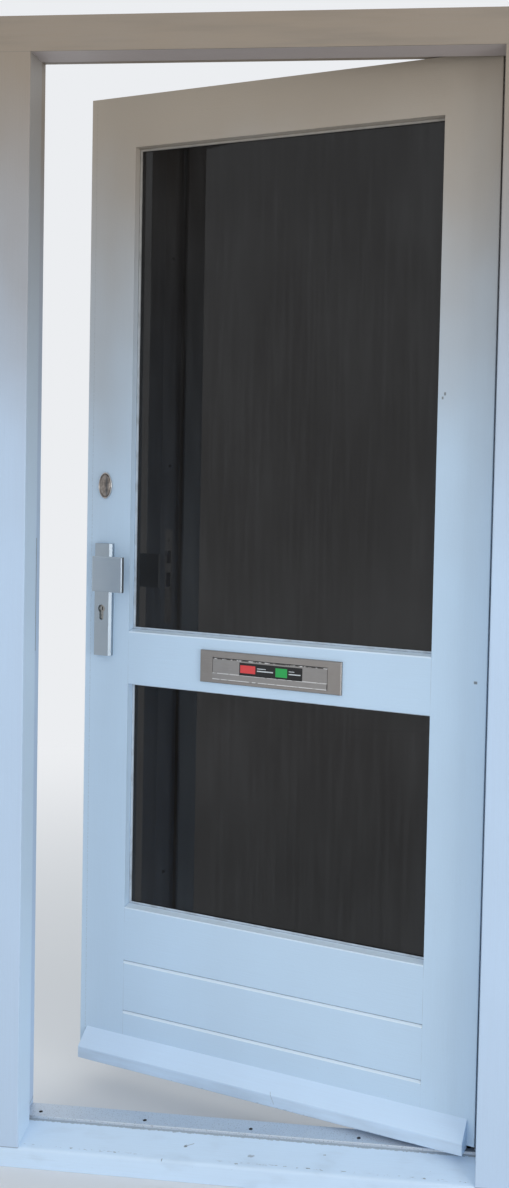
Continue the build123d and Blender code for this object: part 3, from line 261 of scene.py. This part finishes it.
def white_paint(run, marks, lit_tone, shaded):
    """Brushed satin paint, in the lit tone low down and a painted shade above, greyer and warmer. Its strokes
    are long on the run's axis, and marks(place) is 1 where dirt or painted shade darkens it."""
    def painted(place):
        strokes = place.grain(run, 0.0016, 0.11)
        peel = place.cloud(0.006, detail=2.0)
        cloudy = place.cloud(0.21, 0.21, 0.34, detail=2.0)
        height = place.axes()[2]
        # Painted shade: the tone turns from the lit one low down to the shaded one with height.
        lit_to_shaded = (height + (cloudy - 0.5) * 0.4).rises(*turning).blend(lit_tone, shaded)
        tone = (strokes * 0.35 + cloudy * 0.65).rises(0.25, 0.75)
        body = (tone * 0.11).blend(lit_to_shaded, stroke_grey)
        dirt_and_shade = marks(place)
        return {
            "Base Color": dirt_and_shade.blend(body, dirt_and_shade_grey),
            "Roughness": 0.38 + cloudy * 0.14 + dirt_and_shade * 0.3,
            "Specular IOR Level": 0.42,
            "Normal": (strokes * 0.55 + peel * 0.45 - dirt_and_shade * 0.25).relief(0.0004),
        }
    return painted


jamb_line, head_line, frame_front = 0.450, 2.180, -0.057
sill_slope = 0.3485


def frame_marks(place):
    """Dirt where the jambs meet the head and the sill, splashes low down, and specks."""
    x, y, z = place.axes()
    speck = place.cloud(0.0022)
    front = 1 - y.rises(frame_front + 0.001, frame_front + 0.007)
    joint = z.near(head_line, 0.0002, 0.0012) * abs(x).rises(jamb_line, jamb_line + 0.002) * front * 0.45
    splash = (1 - z.rises(0.03, 0.30)) * speck.rises(0.66, 0.78) * 0.28
    foot = (z - (y - frame_front) * sill_slope).near(0.0395, 0.0004, 0.0012) * 0.5
    return joint | foot | splash | speck.rises(0.79, 0.82) * 0.45


def head_marks(place):
    """Dust in long patches on the head, and specks."""
    speck = place.cloud(0.006, 0.006, 0.004, detail=4.0)
    dust = place.cloud(0.25, 0.05, 0.02).rises(0.4, 0.8) * 0.22
    return dust | speck.rises(0.78, 0.82) * 0.4


sill_knocks = (
    (-0.1198, 0.0018, 0.002, -0.0228, 0.0014, 0.0016, 1.0),
    (0.0132, 0.0042, 0.002, -0.0319, 0.0010, 0.0022, 0.6),
    (-0.0123, 0.0022, 0.002, -0.0500, 0.0008, 0.0010, 0.7),
    (0.1575, 0.0020, 0.001, -0.0169, 0.0008, 0.0010, 0.7),
    (-0.1592, 0.0012, 0.001, -0.0540, 0.0010, 0.0010, 1.0),
)


def sill_marks(place):
    """Shoe scuffs and chips on the sill: small dark dashes near the nose, a few deeper knocks and a scratch,
    and a painted shadow along the front of the threshold strip."""
    x, y, _ = place.axes()
    grit = place.cloud(0.010, 0.0022, 0.003, detail=4.0)
    dashes = grit.rises(0.57, 0.63) * place.cloud(0.12).rises(0.45, 0.60)
    nose = y.between(-0.0485, -0.0462, 0.0008) * dashes * 0.65
    speck = place.cloud(0.005, detail=4.0).rises(0.75, 0.78) * 0.6
    traffic = place.cloud(0.09, 0.03, 0.03).rises(0.5, 0.75) * 0.10
    ragged = (place.cloud(0.006) - 0.5) * 0.012
    x, y = x + ragged, y + ragged * 0.5
    scratch = (y - x * 0.42).near(0.0276, 0.0003, 0.0008) * x.between(-0.119, -0.106, 0.002) * 0.7
    # A painted shadow, cast by the threshold strip along its front.
    foot = y.between(0.005, 0.0092, 0.0015) * 0.55
    return nose | speck | traffic | (knocks(x, y, sill_knocks) | scratch) * 0.8 | foot


def frame_paint(run, marks, reveal_shade_tone):
    """The frame's paint, painted lighter on the faces inside the opening, as painted light that reaches them.
    Near the head those faces turn to the warmer, darker tone given last, a painted shade."""
    def painted(place):
        made = white_paint(run, marks, colour(188, 209, 233), colour(145, 131, 115))(place)
        x, y, z = place.axes()
        opening = 1 - abs(x).rises(jamb_line + 0.0015, jamb_line + 0.003)
        opening = opening * (1 - z.rises(head_line + 0.0005, head_line + 0.0015))
        # Painted light on the faces inside the opening, turning to painted shade near the head.
        opening_faces = opening * y.rises(frame_front + 0.0005, frame_front + 0.0035)
        painted_reveal_tone = z.rises(*turning).blend(colour(208, 229, 247), reveal_shade_tone)
        made["Base Color"] = (opening_faces * 0.85).blend(made["Base Color"], painted_reveal_tone)
        return made
    return painted


# The sill's white is painted brighter, as painted light from the sky on its upward slope.
sky_lit_sill_white = colour(208, 230, 252)
upright_paint = make_finish("satin_white_upright", frame_paint(2, frame_marks, colour(150, 144, 138)))
head_paint = make_finish("satin_white_head", frame_paint(0, head_marks, colour(180, 169, 166)))
sill_paint = make_finish("satin_white_sill", white_paint(0, sill_marks, sky_lit_sill_white, sky_lit_sill_white))
coat(upright_paint, "lock_jamb", "hinge_jamb")
coat(head_paint, "head")
coat(sill_paint, "sill")


# The seals. A black rubber tube pressed into a groove round the frame's stops, and a wiping strip of the
# same rubber under the leaf; both are dusty, with a dull skin.
def black_rubber(place):
    """Matt rubber with a fine skin and a film of dust."""
    skin = place.cloud(0.0012)
    dust = place.cloud(0.03, 0.03, 0.05).rises(0.45, 0.75)
    return {
        "Base Color": (dust * 0.5).blend(colour(26, 26, 27), colour(84, 83, 80)),
        "Roughness": 0.55 + skin * 0.2,
        "Specular IOR Level": 0.3,
        "Normal": skin.relief(0.0001),
    }


rubber = make_finish("black_rubber", black_rubber)
coat(rubber, "frame_seal", "bottom_seal")


# The threshold strip. A bare aluminium bar screwed onto the sill behind its slope with five
# countersunk screws. Shoes have scratched it, and it has dulled to a blue grey.
def metal(tint, worn, run, shine, scratches, dull):
    """Brushed metal. Fine lines run on one axis; scratches show the worn tint, and dull clouds stay rough."""
    def brushed(place):
        lines = place.grain(run, 0.0005, 0.045)
        haze = place.cloud(0.035, 0.035, 0.05)
        cuts = place.grain(run, 0.0009, 0.03, detail=4.0).rises(0.66, 0.72) * scratches
        tone = (lines * 0.5 + haze * 0.5).rises(0.3, 0.7)
        body = (tone * 0.45).blend(tint, worn)
        return {
            "Base Color": cuts.blend(body, worn),
            "Metallic": 1.0,
            "Roughness": shine + haze * dull + lines * 0.08,
            "Normal": (lines * 0.6 - cuts * 0.4).relief(0.00012),
        }
    return brushed


strip_bare = metal(colour(206, 216, 227), colour(222, 230, 238), run=0, shine=0.42, scratches=0.8, dull=0.2)


def trodden(place):
    """The strip's metal, scratched along its length, with grit trodden into its pores."""
    made = strip_bare(place)
    grit = place.cloud(0.0026, detail=4.0).rises(0.54, 0.70) * 0.36
    made["Base Color"] = grit.blend(made["Base Color"], colour(92, 92, 94))
    made["Metallic"] = 0.75 - grit * 0.6
    return made


strip_metal = make_finish("trodden_aluminium", trodden)
coat(strip_metal, "threshold_strip")


def make_piece(name, grid, finish, body, slot, *stands_for):
    """A closed skin over a grid of points, whose first axis counts like shapes and whose last holds x, y, z.

    The rings of each shape run round and close on themselves; a first or last ring drawn to one point is a
    pole."""
    shapes, rings, around = grid.shape[:3]
    corner = np.arange(shapes * rings * around).reshape(shapes, rings, around)
    turned = np.roll(corner, -1, axis=2)
    quads = np.stack([corner[:, :-1], turned[:, :-1], turned[:, 1:], corner[:, 1:]], axis=-1).reshape(-1, 4)
    mesh = bpy.data.meshes.new(name)
    mesh.from_pydata(grid.reshape(-1, 3), [], quads.tolist())
    skin = bmesh.new()
    skin.from_mesh(mesh)
    bmesh.ops.remove_doubles(skin, verts=skin.verts, dist=1e-6)
    bmesh.ops.recalc_face_normals(skin, faces=skin.faces)
    skin.to_mesh(mesh)
    skin.free()
    mesh.polygons.foreach_set("use_smooth", np.ones(len(mesh.polygons), bool))
    mesh.set_sharp_from_angle(angle=np.radians(32))
    mesh.materials.append(finish)
    piece = bpy.data.objects.new(name, mesh)
    bpy.context.scene.collection.objects.link(piece)
    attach(piece, body)
    if stands_for:
        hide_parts(*stands_for)
    return piece


def screw_grid(seats, outward, length, head, shank, cone, dish):
    """Countersunk screws with a cross in the head, as rings round their axes.

    A point stands at its ring's radius and height, turned by its angle. The crown is a shallow dish; where the
    point lies in either arm of the cross, it drops to the arm's floor. Below the rim the rings close on a cone,
    then run straight down the shank and end in a point."""
    seats, outward = np.array(seats, float), np.array(outward, float)
    outward = outward / np.linalg.norm(outward)
    slant = (0.31, 0.17, 0.93)
    side = np.cross(outward, slant)
    side = side / np.linalg.norm(side)
    other = np.cross(outward, side)
    crown = np.linspace(0, 1, 13)
    rim_radius, rim_drop = head * 0.985, 0.0003
    radius = np.concatenate([crown * head, [rim_radius, shank, shank, 0.0]])
    drop = np.concatenate([-dish * (1 - crown**2), [-rim_drop, -cone, -length + 2 * shank, -length]])
    angle = np.linspace(0, 2 * np.pi, 48, endpoint=False)
    aside, above = radius[:, None] * np.cos(angle), radius[:, None] * np.sin(angle)
    arm, tip, cross_depth = 0.17 * head, 0.62 * head, 0.28 * head
    wall = 0.3 * arm

    def within(distance, half):
        """1 inside the arm's half size, sloping to 0 at its wall."""
        return np.clip((half - abs(distance)) / wall, 0, 1)

    cross = np.maximum(within(aside, arm) * within(above, tip), within(above, arm) * within(aside, tip))
    cross[len(crown):] = 0
    height = drop[:, None] - cross_depth * cross
    return (
        seats[:, None, None, :]
        + aside[None, :, :, None] * side
        + above[None, :, :, None] * other
        + height[None, :, :, None] * outward
    )


def grimy_steel(place):
    """Steel screw heads in a step that people walk on: nearly black, clouded lighter in patches."""
    haze = place.cloud(0.003)
    return {
        "Base Color": haze.rises(0.4, 0.7).blend(colour(38, 36, 36), colour(84, 84, 88)),
        "Metallic": 0.7,
        "Roughness": 0.45 + haze * 0.2,
        "Normal": haze.relief(0.0001),
    }


step_steel = make_finish("trodden_screws", grimy_steel)
wood_screw = {"head": 0.004, "shank": 0.002, "cone": 0.0024, "dish": 0.0002}
strip_seats = [(0.219 * step, 0.025, 0.067) for step in range(-2, 3)]
strip_screws = screw_grid(strip_seats, (0, 0, 1), length=0.032, **wood_screw)
make_piece("strip_screws", strip_screws, step_steel, "frame", "plated_steel", "threshold_screws")


# The hinges. Three pairs of rolled steel butt hinges with a loose pin, let into the jamb and the leaf's
# edge and screwed; the knuckles stand behind the frame on the room side.
def hinge_steel(place):
    """Sheet steel with a clear zinc coat, clouded in patches, with fine upright lines."""
    haze = place.cloud(0.012, 0.012, 0.02)
    roll_lines = place.cloud(0.0008, 0.0008, 0.02)
    return {
        "Base Color": haze.rises(0.35, 0.7).blend(colour(150, 152, 154), colour(118, 118, 118)),
        "Metallic": 1.0,
        "Roughness": 0.3 + haze * 0.22,
        "Normal": roll_lines.relief(0.0001),
    }


rolled = make_finish("hinge_steel", hinge_steel)
coat(rolled, *[f"{row}_hinge_{side}_half" for row in ("bottom", "middle", "top") for side in ("frame", "leaf")])
coat(rolled, "hinge_pins")


def plated_steel(place):
    """Zinc-plated steel, a little dull, with grime in patches."""
    haze = place.cloud(0.004)
    grime = place.cloud(0.012).rises(0.55, 0.7)
    return {
        "Base Color": (grime * 0.35).blend(colour(148, 151, 154), colour(74, 70, 66)),
        "Metallic": 1.0 - grime * 0.4,
        "Roughness": 0.3 + haze * 0.2 + grime * 0.25,
        "Normal": haze.relief(0.00008),
    }


steel = make_finish("plated_steel", plated_steel)
hinge_rows = (0.294, 1.1365, 1.979)
strike_rows = (1.02325, 1.23525)  # where the strike plate and the lock's front are screwed


def hinge_screws(holes):
    """The depth and height of each screw of the hinges. A hole is given by its depth and by how far above and
    below its hinge's middle it lies."""
    return [(depth, row + side * off) for row in hinge_rows for depth, off in holes for side in (-1, 1)]


rebate_face, screw_length = 0.468, 0.028
jamb_seats = [(rebate_face, y, z) for y, z in hinge_screws(((0.051, 0.017), (0.030, 0.034)))]
strike_seats = [(-rebate_face, 0.030, z) for z in strike_rows]
jamb_screws = np.concatenate([
    screw_grid(jamb_seats, (-1, 0, 0), screw_length, **wood_screw),
    screw_grid(strike_seats, (1, 0, 0), screw_length, **wood_screw),
])
make_piece("jamb_screws", jamb_screws, steel, "frame", "plated_steel", "frame_screws")


# The leaf. Two stiles and two rails of the same hardwood, tenoned, with three boards below the lower
# glass. Hairlines show in the paint at the joints, and V-grooves part the boards.
leaf_corner, ajar, leaf_width = (0.4482442, 0.0057765, 0.0), np.radians(16.0), 0.930
along = np.array([-np.cos(ajar), np.sin(ajar), 0.0])
inward = np.array([np.sin(ajar), np.cos(ajar), 0.0])
stile_lines, board_joints = (0.114, 0.816), (0.1847, 0.2975)
boards, mid_rail, top_rail = (0.08, 0.4165), (0.9178, 1.0305), (2.0835, 2.194)


def leaf_point(width, depth, height):
    """Places counted on the leaf, in metres: width from the hinge edge, depth from the outer face, height."""
    width, depth, height = (np.asarray(size)[..., None] for size in (width, depth, height))
    return np.array(leaf_corner) + width * along + depth * inward + height * np.array([0.0, 0.0, 1.0])


def leaf_finish(name, recipe):
    """A finish for the leaf. Its recipe counts place from the leaf's outer hinge corner: minus the width, the
    depth from the outer face, the height."""
    def turned_in(place):
        corner = {"Vector": place, "Location": leaf_corner, "Rotation": (0.0, 0.0, -ajar)}
        return recipe(place.node("Mapping", {"vector_type": "TEXTURE"}, corner))
    return make_finish(name, turned_in)


def leaf_axes(place):
    """The width from the hinge edge, the depth from the outer face and the height of a place on the leaf."""
    minus_width, depth, height = place.axes()
    return minus_width * -1.0, depth, height


leaf_knocks = (
    (0.0228, 0.0024, 0.002, 0.991, 0.0016, 0.002, 0.75),
    (0.0998, 0.0012, 0.0015, 1.548, 0.002, 0.002, 0.75),
    (0.1045, 0.001, 0.0015, 1.540, 0.0015, 0.002, 0.75),
)


def leaf_marks(place):
    """Hairlines where rails meet stiles, painted shade on the upper slope of each groove, dark ticks at the
    groove ends, a rubbed line by the lock edge, small knocks.
    """
    width, depth, z = leaf_axes(place)
    face = 1 - depth.rises(0.001, 0.003)
    speck = place.cloud(0.004, detail=4.0)
    rails = any_of(z.between(foot, top, 0.0002) for foot, top in (boards, mid_rail, top_rail))
    joints = any_of(width.near(line, 0.0002, 0.0007) for line in stile_lines) * rails * face
    hair = joints * place.cloud(0.05).rises(0.35, 0.6) * (1 - z.rises(1.1, 1.9)) * 0.22
    # Painted shade on the upper slope of each V-groove.
    groove_shade = any_of(z.between(joint + 0.0001, joint + 0.0017, 0.0006) for joint in board_joints)
    groove_shade = groove_shade * width.between(*stile_lines, 0.0005) * 0.55
    left_end, right_end = stile_lines[1] - 0.0005, stile_lines[0] + 0.0005
    ends = width.near(left_end, 0.0005, 0.0006) | width.near(right_end, 0.0005, 0.0006)
    ends = ends * any_of(z.between(joint - 0.0057, joint + 0.0028, 0.001) for joint in board_joints) * 0.4
    edge = width.near(0.916, 0.0005, 0.0012) * face * speck.rises(0.4, 0.6) * 0.22
    foot = (1 - z.rises(0.08, 0.35)) * speck.rises(0.66, 0.74) * 0.2
    dents = knocks(width, z, leaf_knocks) * face
    return hair | groove_shade | ends | edge | dents | foot | speck.rises(0.79, 0.82) * 0.4


def leaf_paint(run):
    """The leaf's paint, with a painted highlight on the lower, upward slope below each joint of the boards."""
    def painted(place):
        made = white_paint(run, leaf_marks, colour(195, 219, 241), colour(168, 155, 139))(place)
        width, _, z = leaf_axes(place)
        # A painted highlight where each groove's lower slope faces the sky.
        lit_groove_slopes = any_of(z.between(joint - 0.0048, joint - 0.0005, 0.0006) for joint in board_joints)
        lit_groove_slopes = lit_groove_slopes * width.between(*stile_lines, 0.0004)
        made["Base Color"] = (lit_groove_slopes * 0.85).blend(made["Base Color"], colour(226, 240, 252))
        return made
    return painted


# The ledge beads' white is painted brighter, as painted light on their upward faces.
sky_lit_ledge_white = colour(218, 236, 252)


def ledge_paint(place):
    """The ledge beads' paint, painted brightest as painted light, with a dark line where it meets the glass."""
    made = white_paint(0, leaf_marks, sky_lit_ledge_white, sky_lit_ledge_white)(place)
    depth = place.axes()[1]
    made["Base Color"] = (depth.rises(0.0155, 0.0168) * 0.7).blend(made["Base Color"], colour(70, 72, 74))
    return made


stile_paint = leaf_finish("satin_white_stile", leaf_paint(2))
rail_paint = leaf_finish("satin_white_rail", leaf_paint(0))
coat(stile_paint, "lock_stile", "hinge_stile", "upper_side_beads", "lower_side_beads")
coat(rail_paint, "top_rail", "mid_rail", "upper_board", "middle_board", "lower_board")
coat(rail_paint, "upper_end_beads", "lower_end_beads")
coat(leaf_finish("satin_white_ledge", ledge_paint), "upper_ledge_bead", "lower_ledge_bead")

edge_seats = [leaf_point(0.0, depth, z) for depth, z in hinge_screws(((0.048, 0.017), (0.027, 0.034)))]
forend_seats = leaf_point(leaf_width, 0.027, strike_rows)
edge_screws = np.concatenate([
    screw_grid(edge_seats, -along, screw_length, **wood_screw),
    screw_grid(forend_seats, along, screw_length, **wood_screw),
])
make_piece("edge_screws", edge_screws, steel, "leaf", "plated_steel", "leaf_screws")


# The weatherboard. A moulded drip board screwed from behind across the foot of the leaf, rounded on its
# nose, sloped on top and grooved below. Rain and shoes wear its paint most.
def board_marks(place):
    """Chips on the nose, a hair crack across the slope, clouded painted shade on the nose's front, and specks.
    """
    width, _, z = leaf_axes(place)
    speck = place.cloud(0.005, detail=4.0)
    crack = (width - (z - 0.0906) * 0.48).near(0.4263, 0.0002, 0.0006) * z.between(0.083, 0.103, 0.002) * 0.6
    chips = (1 - z.rises(0.0765, 0.079)) * place.cloud(0.012, 0.01, 0.003, detail=4.0).rises(0.6, 0.66) * 0.4
    # Painted shade, in clouds, on the front of the nose below the slope.
    film = (1 - z.rises(0.095, 0.101)) * place.cloud(0.12, 0.12, 0.02).rises(0.2, 0.8) * 0.2
    return crack | chips | film | speck.rises(0.76, 0.8) * 0.4


# The drip board's white is painted brighter, as painted light from the sky on its slope.
sky_lit_board_white = colour(205, 228, 252)
board_paint = leaf_finish("satin_white_drip_board", white_paint(0, board_marks, sky_lit_board_white, sky_lit_board_white))
coat(board_paint, "weatherboard")


# The glass. Two sealed double panes, each bedded on foam tape and pointed outside with a pale bead of
# sealant; a bright perforated spacer holds the two sheets twelve millimetres apart.
def shade_darkened_glass(shade_opacity):
    """Glass painted dark and nearly opaque, a painted shade standing for the dark room behind it, with a
    little dust that thickens towards the edges and the foot of each pane.
    """
    def pane(place):
        width, _, z = leaf_axes(place)
        side = abs(width - leaf_width / 2).rises(0.25, 0.352)
        lower_foot, upper_foot = boards[1], mid_rail[1]
        foot = 1 - z.rises(lower_foot, lower_foot + 0.22)
        foot = foot | (1 - z.rises(upper_foot, upper_foot + 0.25)) * z.rises(1.0, 1.03)
        streaks = place.cloud(0.010, 0.010, 0.22)
        film = place.cloud(0.16, 0.16, 0.26)
        dust = (streaks.rises(0.35, 0.8) * 0.45 + film.rises(0.3, 0.8) * 0.4 + side * 0.3 + foot * 0.3) * 0.5
        # The dark body colour and its opacity are painted shade of the room behind; the dust is real.
        return {
            "Base Color": (dust * 0.14).blend(colour(20, 18, 17), colour(146, 148, 150)),
            "Roughness": 0.02 + dust * 0.05,
            "IOR": 1.45,
            "Specular IOR Level": 0.42,
            "Alpha": shade_opacity + dust * 0.04,
        }
    return pane


outer_glass = leaf_finish("outer_glass", shade_darkened_glass(0.90))
inner_glass = leaf_finish("inner_glass", shade_darkened_glass(0.60))
coat(outer_glass, "upper_outer_pane", "lower_outer_pane")
coat(inner_glass, "upper_inner_pane", "lower_inner_pane")


def perforated(place):
    """Bright aluminium channel. Dark breathing holes lie on its middle line, nineteen millimetres apart, where
    a wave over the width and a wave over the height crest together."""
    width, depth, z = leaf_axes(place)
    wave = 333.0
    crests = (width * -wave).maths("SINE") * (z * wave).maths("SINE")
    holes = crests.rises(0.55, 0.8) * depth.near(0.030, 0.0012, 0.0008)
    haze = place.cloud(0.02)
    return {
        "Base Color": holes.blend(colour(168, 172, 176), colour(40, 40, 42)),
        "Metallic": 1.0,
        "Roughness": 0.32 + haze * 0.2,
        "Normal": (haze * 0.3 - holes * 0.7).relief(0.0002),
    }


def pale_sealant(place):
    """Grey-white putty-like sealant, drawn smooth with a finger, dusty in places, greyer and warmer towards
    the top as painted shade.
    """
    drawn = place.cloud(0.004, 0.004, 0.03)
    dust = place.cloud(0.02, 0.02, 0.03).rises(0.4, 0.75)
    # Painted shade: the sealant turns greyer and warmer with height.
    lit_to_shaded = place.axes()[2].rises(*turning).blend(colour(186, 200, 214), colour(150, 143, 133))
    return {
        "Base Color": (dust * 0.4).blend(lit_to_shaded, colour(112, 112, 110)),
        "Roughness": 0.5 + drawn * 0.2,
        "Normal": drawn.relief(0.0004),
    }


spacer = leaf_finish("spacer_channel", perforated)
sealant = leaf_finish("pale_sealant", pale_sealant)
coat(spacer, "upper_spacer", "lower_spacer")
coat(sealant, "upper_glazing_tape", "lower_glazing_tape")


def bead_grid(foot, top):
    """A rounded bead carried round a pane's opening, from stile to stile. Its profile is half an oval; a point
    of it lies in from each side by the oval's width there and out from the tape by its height. The four corners
    are mitred, and the run along the foot is lifted to lie over the ledge."""
    half_width, proud, bed, lift = 0.0022, 0.0014, 0.0170, 0.007
    turn = np.linspace(0, np.pi, 9)
    inset = np.append(half_width * (1 - np.cos(turn)), [2 * half_width, 0.0])
    depth = np.append(bed - proud * np.sin(turn), [bed + 0.0002, bed + 0.0002])
    left, right = stile_lines
    sides = np.array([
        [left, foot, 1, 1], [right, foot, -1, 1], [right, top, -1, -1], [left, top, 1, -1], [left, foot, 1, 1],
    ])
    lifted = np.where(sides[:, 3:] > 0, lift, 0.0)
    width = sides[:, :1] + sides[:, 2:3] * inset
    height = sides[:, 1:2] + sides[:, 3:] * inset + lifted
    return leaf_point(width, depth, height)[None]


make_piece("upper_sealant_bead", bead_grid(mid_rail[1], top_rail[0]), sealant, "leaf", "sealant")
make_piece("lower_sealant_bead", bead_grid(boards[1], mid_rail[0]), sealant, "leaf", "sealant")


# The letterplate. A cast and bevelled aluminium plate in the middle rail, with a flap hung on two
# pivots along its top and a small lip to lift it by. Inside the leaf a second plate and flap close the slot.
cast = {"run": 0, "shine": 0.34, "scratches": 0.5, "dull": 0.16}
plate_metal = metal(colour(148, 143, 139), colour(172, 168, 165), **cast)
flap_metal = metal(colour(150, 147, 145), colour(176, 174, 172), **cast)
letter_metal = leaf_finish("letterplate_aluminium", plate_metal)
coat(letter_metal, "letterplate", "inner_letter_plate", "inner_letter_flap")


def flap_with_glints(place):
    """The flap's metal, with painted highlights along the lip's edges and a broken line of painted highlight
    and painted shade over the pivots.
    """
    made = flap_metal(place)
    z = place.axes()[2]
    chatter = place.cloud(0.009, detail=4.0)
    lip = z.near(0.9617, 0.0005, 0.0006) | z.near(0.9492, 0.0006, 0.0006)
    pivot = z.near(0.9922, 0.0007, 0.0006)
    # Painted highlights on the lip's edges and over the pivots, and a painted shade line along the pivots.
    glint_lines = lip * chatter.rises(0.3, 0.5) | pivot * chatter.rises(0.52, 0.56)
    pivot_shade = pivot * (1 - chatter.rises(0.44, 0.5)) * 0.7
    made["Base Color"] = glint_lines.blend(made["Base Color"], colour(226, 226, 226))
    made["Base Color"] = pivot_shade.blend(made["Base Color"], colour(60, 58, 56))
    return made


coat(leaf_finish("glinting_flap_aluminium", flap_with_glints), "letter_flap")

rule_rows = (  # height, half thickness, right and left end
    (0.9788, 0.0006, 0.4740, 0.4940),
    (0.9738, 0.0010, 0.4570, 0.4940),
    (0.9790, 0.0005, 0.4080, 0.4205),
    (0.9735, 0.0009, 0.3940, 0.4205),
)


def sticker(place):
    """A black plastic strip with one red and one green block and thin white rules beside them."""
    width, depth, z = leaf_axes(place)
    crisp = 0.0004
    front = 1 - depth.rises(-0.0062, -0.0061)
    red = width.between(0.4985, 0.5335, crisp) * z.between(0.9672, 0.9832, crisp) * front
    green = width.between(0.4245, 0.4510, crisp) * z.between(0.9655, 0.9836, crisp) * front
    rules = any_of(z.near(height, half, crisp) * width.between(right, left, crisp)
                   for height, half, right, left in rule_rows) * front * 0.9
    scuff = place.cloud(0.006, 0.006, 0.002, detail=4.0)
    worn = scuff.rises(0.62, 0.74) * 0.3
    body = red.blend(colour(8, 9, 11), colour(214, 66, 68))
    body = green.blend(body, colour(34, 160, 78))
    body = rules.blend(body, colour(206, 212, 216))
    return {
        "Base Color": worn.blend(body, colour(96, 98, 100)),
        "Roughness": 0.32 + scuff * 0.2,
        "Normal": scuff.relief(0.00006),
    }


coat(leaf_finish("plain_sticker", sticker), "flap_label")

letter_bolt = {"length": 0.040, "head": 0.0046, "shank": 0.00125, "cone": 0.0014, "dish": 0.0001}
letter_bolt_widths, inner_plate_face, slot_height = (0.319, 0.615), 0.0565, 0.97415
letter_bolt_seats = leaf_point(letter_bolt_widths, inner_plate_face, slot_height)
letter_bolt_heads = screw_grid(letter_bolt_seats, inward, **letter_bolt)
make_piece("letter_bolt_heads", letter_bolt_heads, steel, "leaf", "plated_steel", "letter_bolts")


# The lock furniture. A long narrow plate of anodised aluminium with sloped sides, a fixed square knob on
# a bent neck, and inside a matching plate with a lever. Two bolts through the leaf pull them together.
anodised = {"scratches": 0.25, "dull": 0.12}
plate_tone = metal(colour(158, 170, 180), colour(182, 191, 198), run=2, shine=0.36, **anodised)
lever_tone = metal(colour(160, 171, 181), colour(184, 192, 199), run=0, shine=0.32, **anodised)
knob_tone = metal(colour(172, 184, 194), colour(190, 199, 206), run=0, shine=0.38, **anodised)
coat(leaf_finish("satin_aluminium", plate_tone), "outside_plate", "inside_plate")
coat(leaf_finish("lever_aluminium", lever_tone), "lever_handle")
coat(leaf_finish("knob_aluminium", knob_tone), "knob")
coat(steel, "spindle")

plate_bolt = {"length": 0.050, "head": 0.0055, "shank": 0.0015, "cone": 0.0017, "dish": 0.0001}
plate_middle, inside_plate_face, plate_bolt_rows = 0.8785, 0.063, (0.990, 1.211)
plate_bolt_seats = leaf_point(plate_middle, inside_plate_face, plate_bolt_rows)
plate_bolt_heads = screw_grid(plate_bolt_seats, inward, **plate_bolt)
make_piece("plate_bolt_heads", plate_bolt_heads, steel, "leaf", "plated_steel", "plate_bolts")


# The lock. A mortice case with a sprung latch and a deadbolt, worked by the lever's follower and by a
# brass profile cylinder, and a strike plate let into the jamb opposite.
def brass(place):
    """Nickelled brass that keys have rubbed, with the fine lines of turning."""
    haze = place.cloud(0.003)
    turned = place.cloud(0.0006, 0.004, 0.0006)
    return {
        "Base Color": (haze.rises(0.4, 0.7) * 0.45).blend(colour(158, 157, 153), colour(110, 109, 107)),
        "Metallic": 1.0,
        "Roughness": 0.28 + haze * 0.2,
        "Normal": turned.relief(0.00008),
    }


coat(leaf_finish("tarnished_brass", brass), "cylinder_body", "cylinder_plug")
coat(steel, "lock_case", "lock_follower", "latch_bolt", "deadbolt", "strike_plate")


# The oval rosette. A pressed and lacquered cover over the upper lock, domed inside a rolled rim and
# darkened to bronze; it is held by a spring clip behind.
rosette_middle, rosette_half = (0.8805, 1.3515), (0.0168, 0.0290)


def bronze(place):
    """Dark lacquered bronze, tarnished brown in patches, with a painted highlight all round the rim."""
    haze = place.cloud(0.008)
    width, _, z = leaf_axes(place)
    aside = (width - rosette_middle[0]) * (1 / rosette_half[0])
    above = (z - rosette_middle[1]) * (1 / rosette_half[1])
    # A painted highlight round the rim.
    rim = (aside * aside + above * above).rises(0.84, 0.90)
    tarnish = haze.rises(0.35, 0.7).blend(colour(148, 141, 135), colour(110, 104, 99))
    return {
        "Base Color": (rim * 0.8).blend(tarnish, colour(206, 202, 198)),
        "Metallic": 1.0,
        "Roughness": 0.24 + haze * 0.14,
        "Normal": haze.relief(0.0001),
    }


def oval_dome(middle, half, thick):
    """Ovals round the middle, one inside the other: each point stands at its angle on an oval whose size and
    height come from the profile, which rises round the rolled rim, dips, and swells into the dome."""
    rim = 0.07
    dome_edge = 1 - 2.3 * rim
    turn = np.linspace(0, np.pi, 12)
    inner = np.linspace(dome_edge, 0, 20)
    swell = np.sqrt(np.clip(1 - (inner / dome_edge) ** 2, 0, 1)) ** 1.25
    size = np.concatenate([[0.0, 0.9], 1 - rim + rim * np.sin(turn), inner])
    lift = thick * np.concatenate([[0.0, 0.0], 0.28 * (1 - np.cos(turn)), 0.34 + 0.66 * swell])
    angle = np.linspace(0, 2 * np.pi, 72, endpoint=False)
    width = middle[0] + half[0] * size[:, None] * np.cos(angle)
    height = middle[1] + half[1] * size[:, None] * np.sin(angle)
    return leaf_point(width, -lift[:, None], height)[None]


rosette_bronze = leaf_finish("dark_bronze", bronze)
domed = oval_dome(rosette_middle, rosette_half, 0.008)
make_piece("domed_rosette", domed, rosette_bronze, "leaf", "dark_bronze", "oval_rosette")

bpy.context.scene.view_settings.view_transform = "Standard"
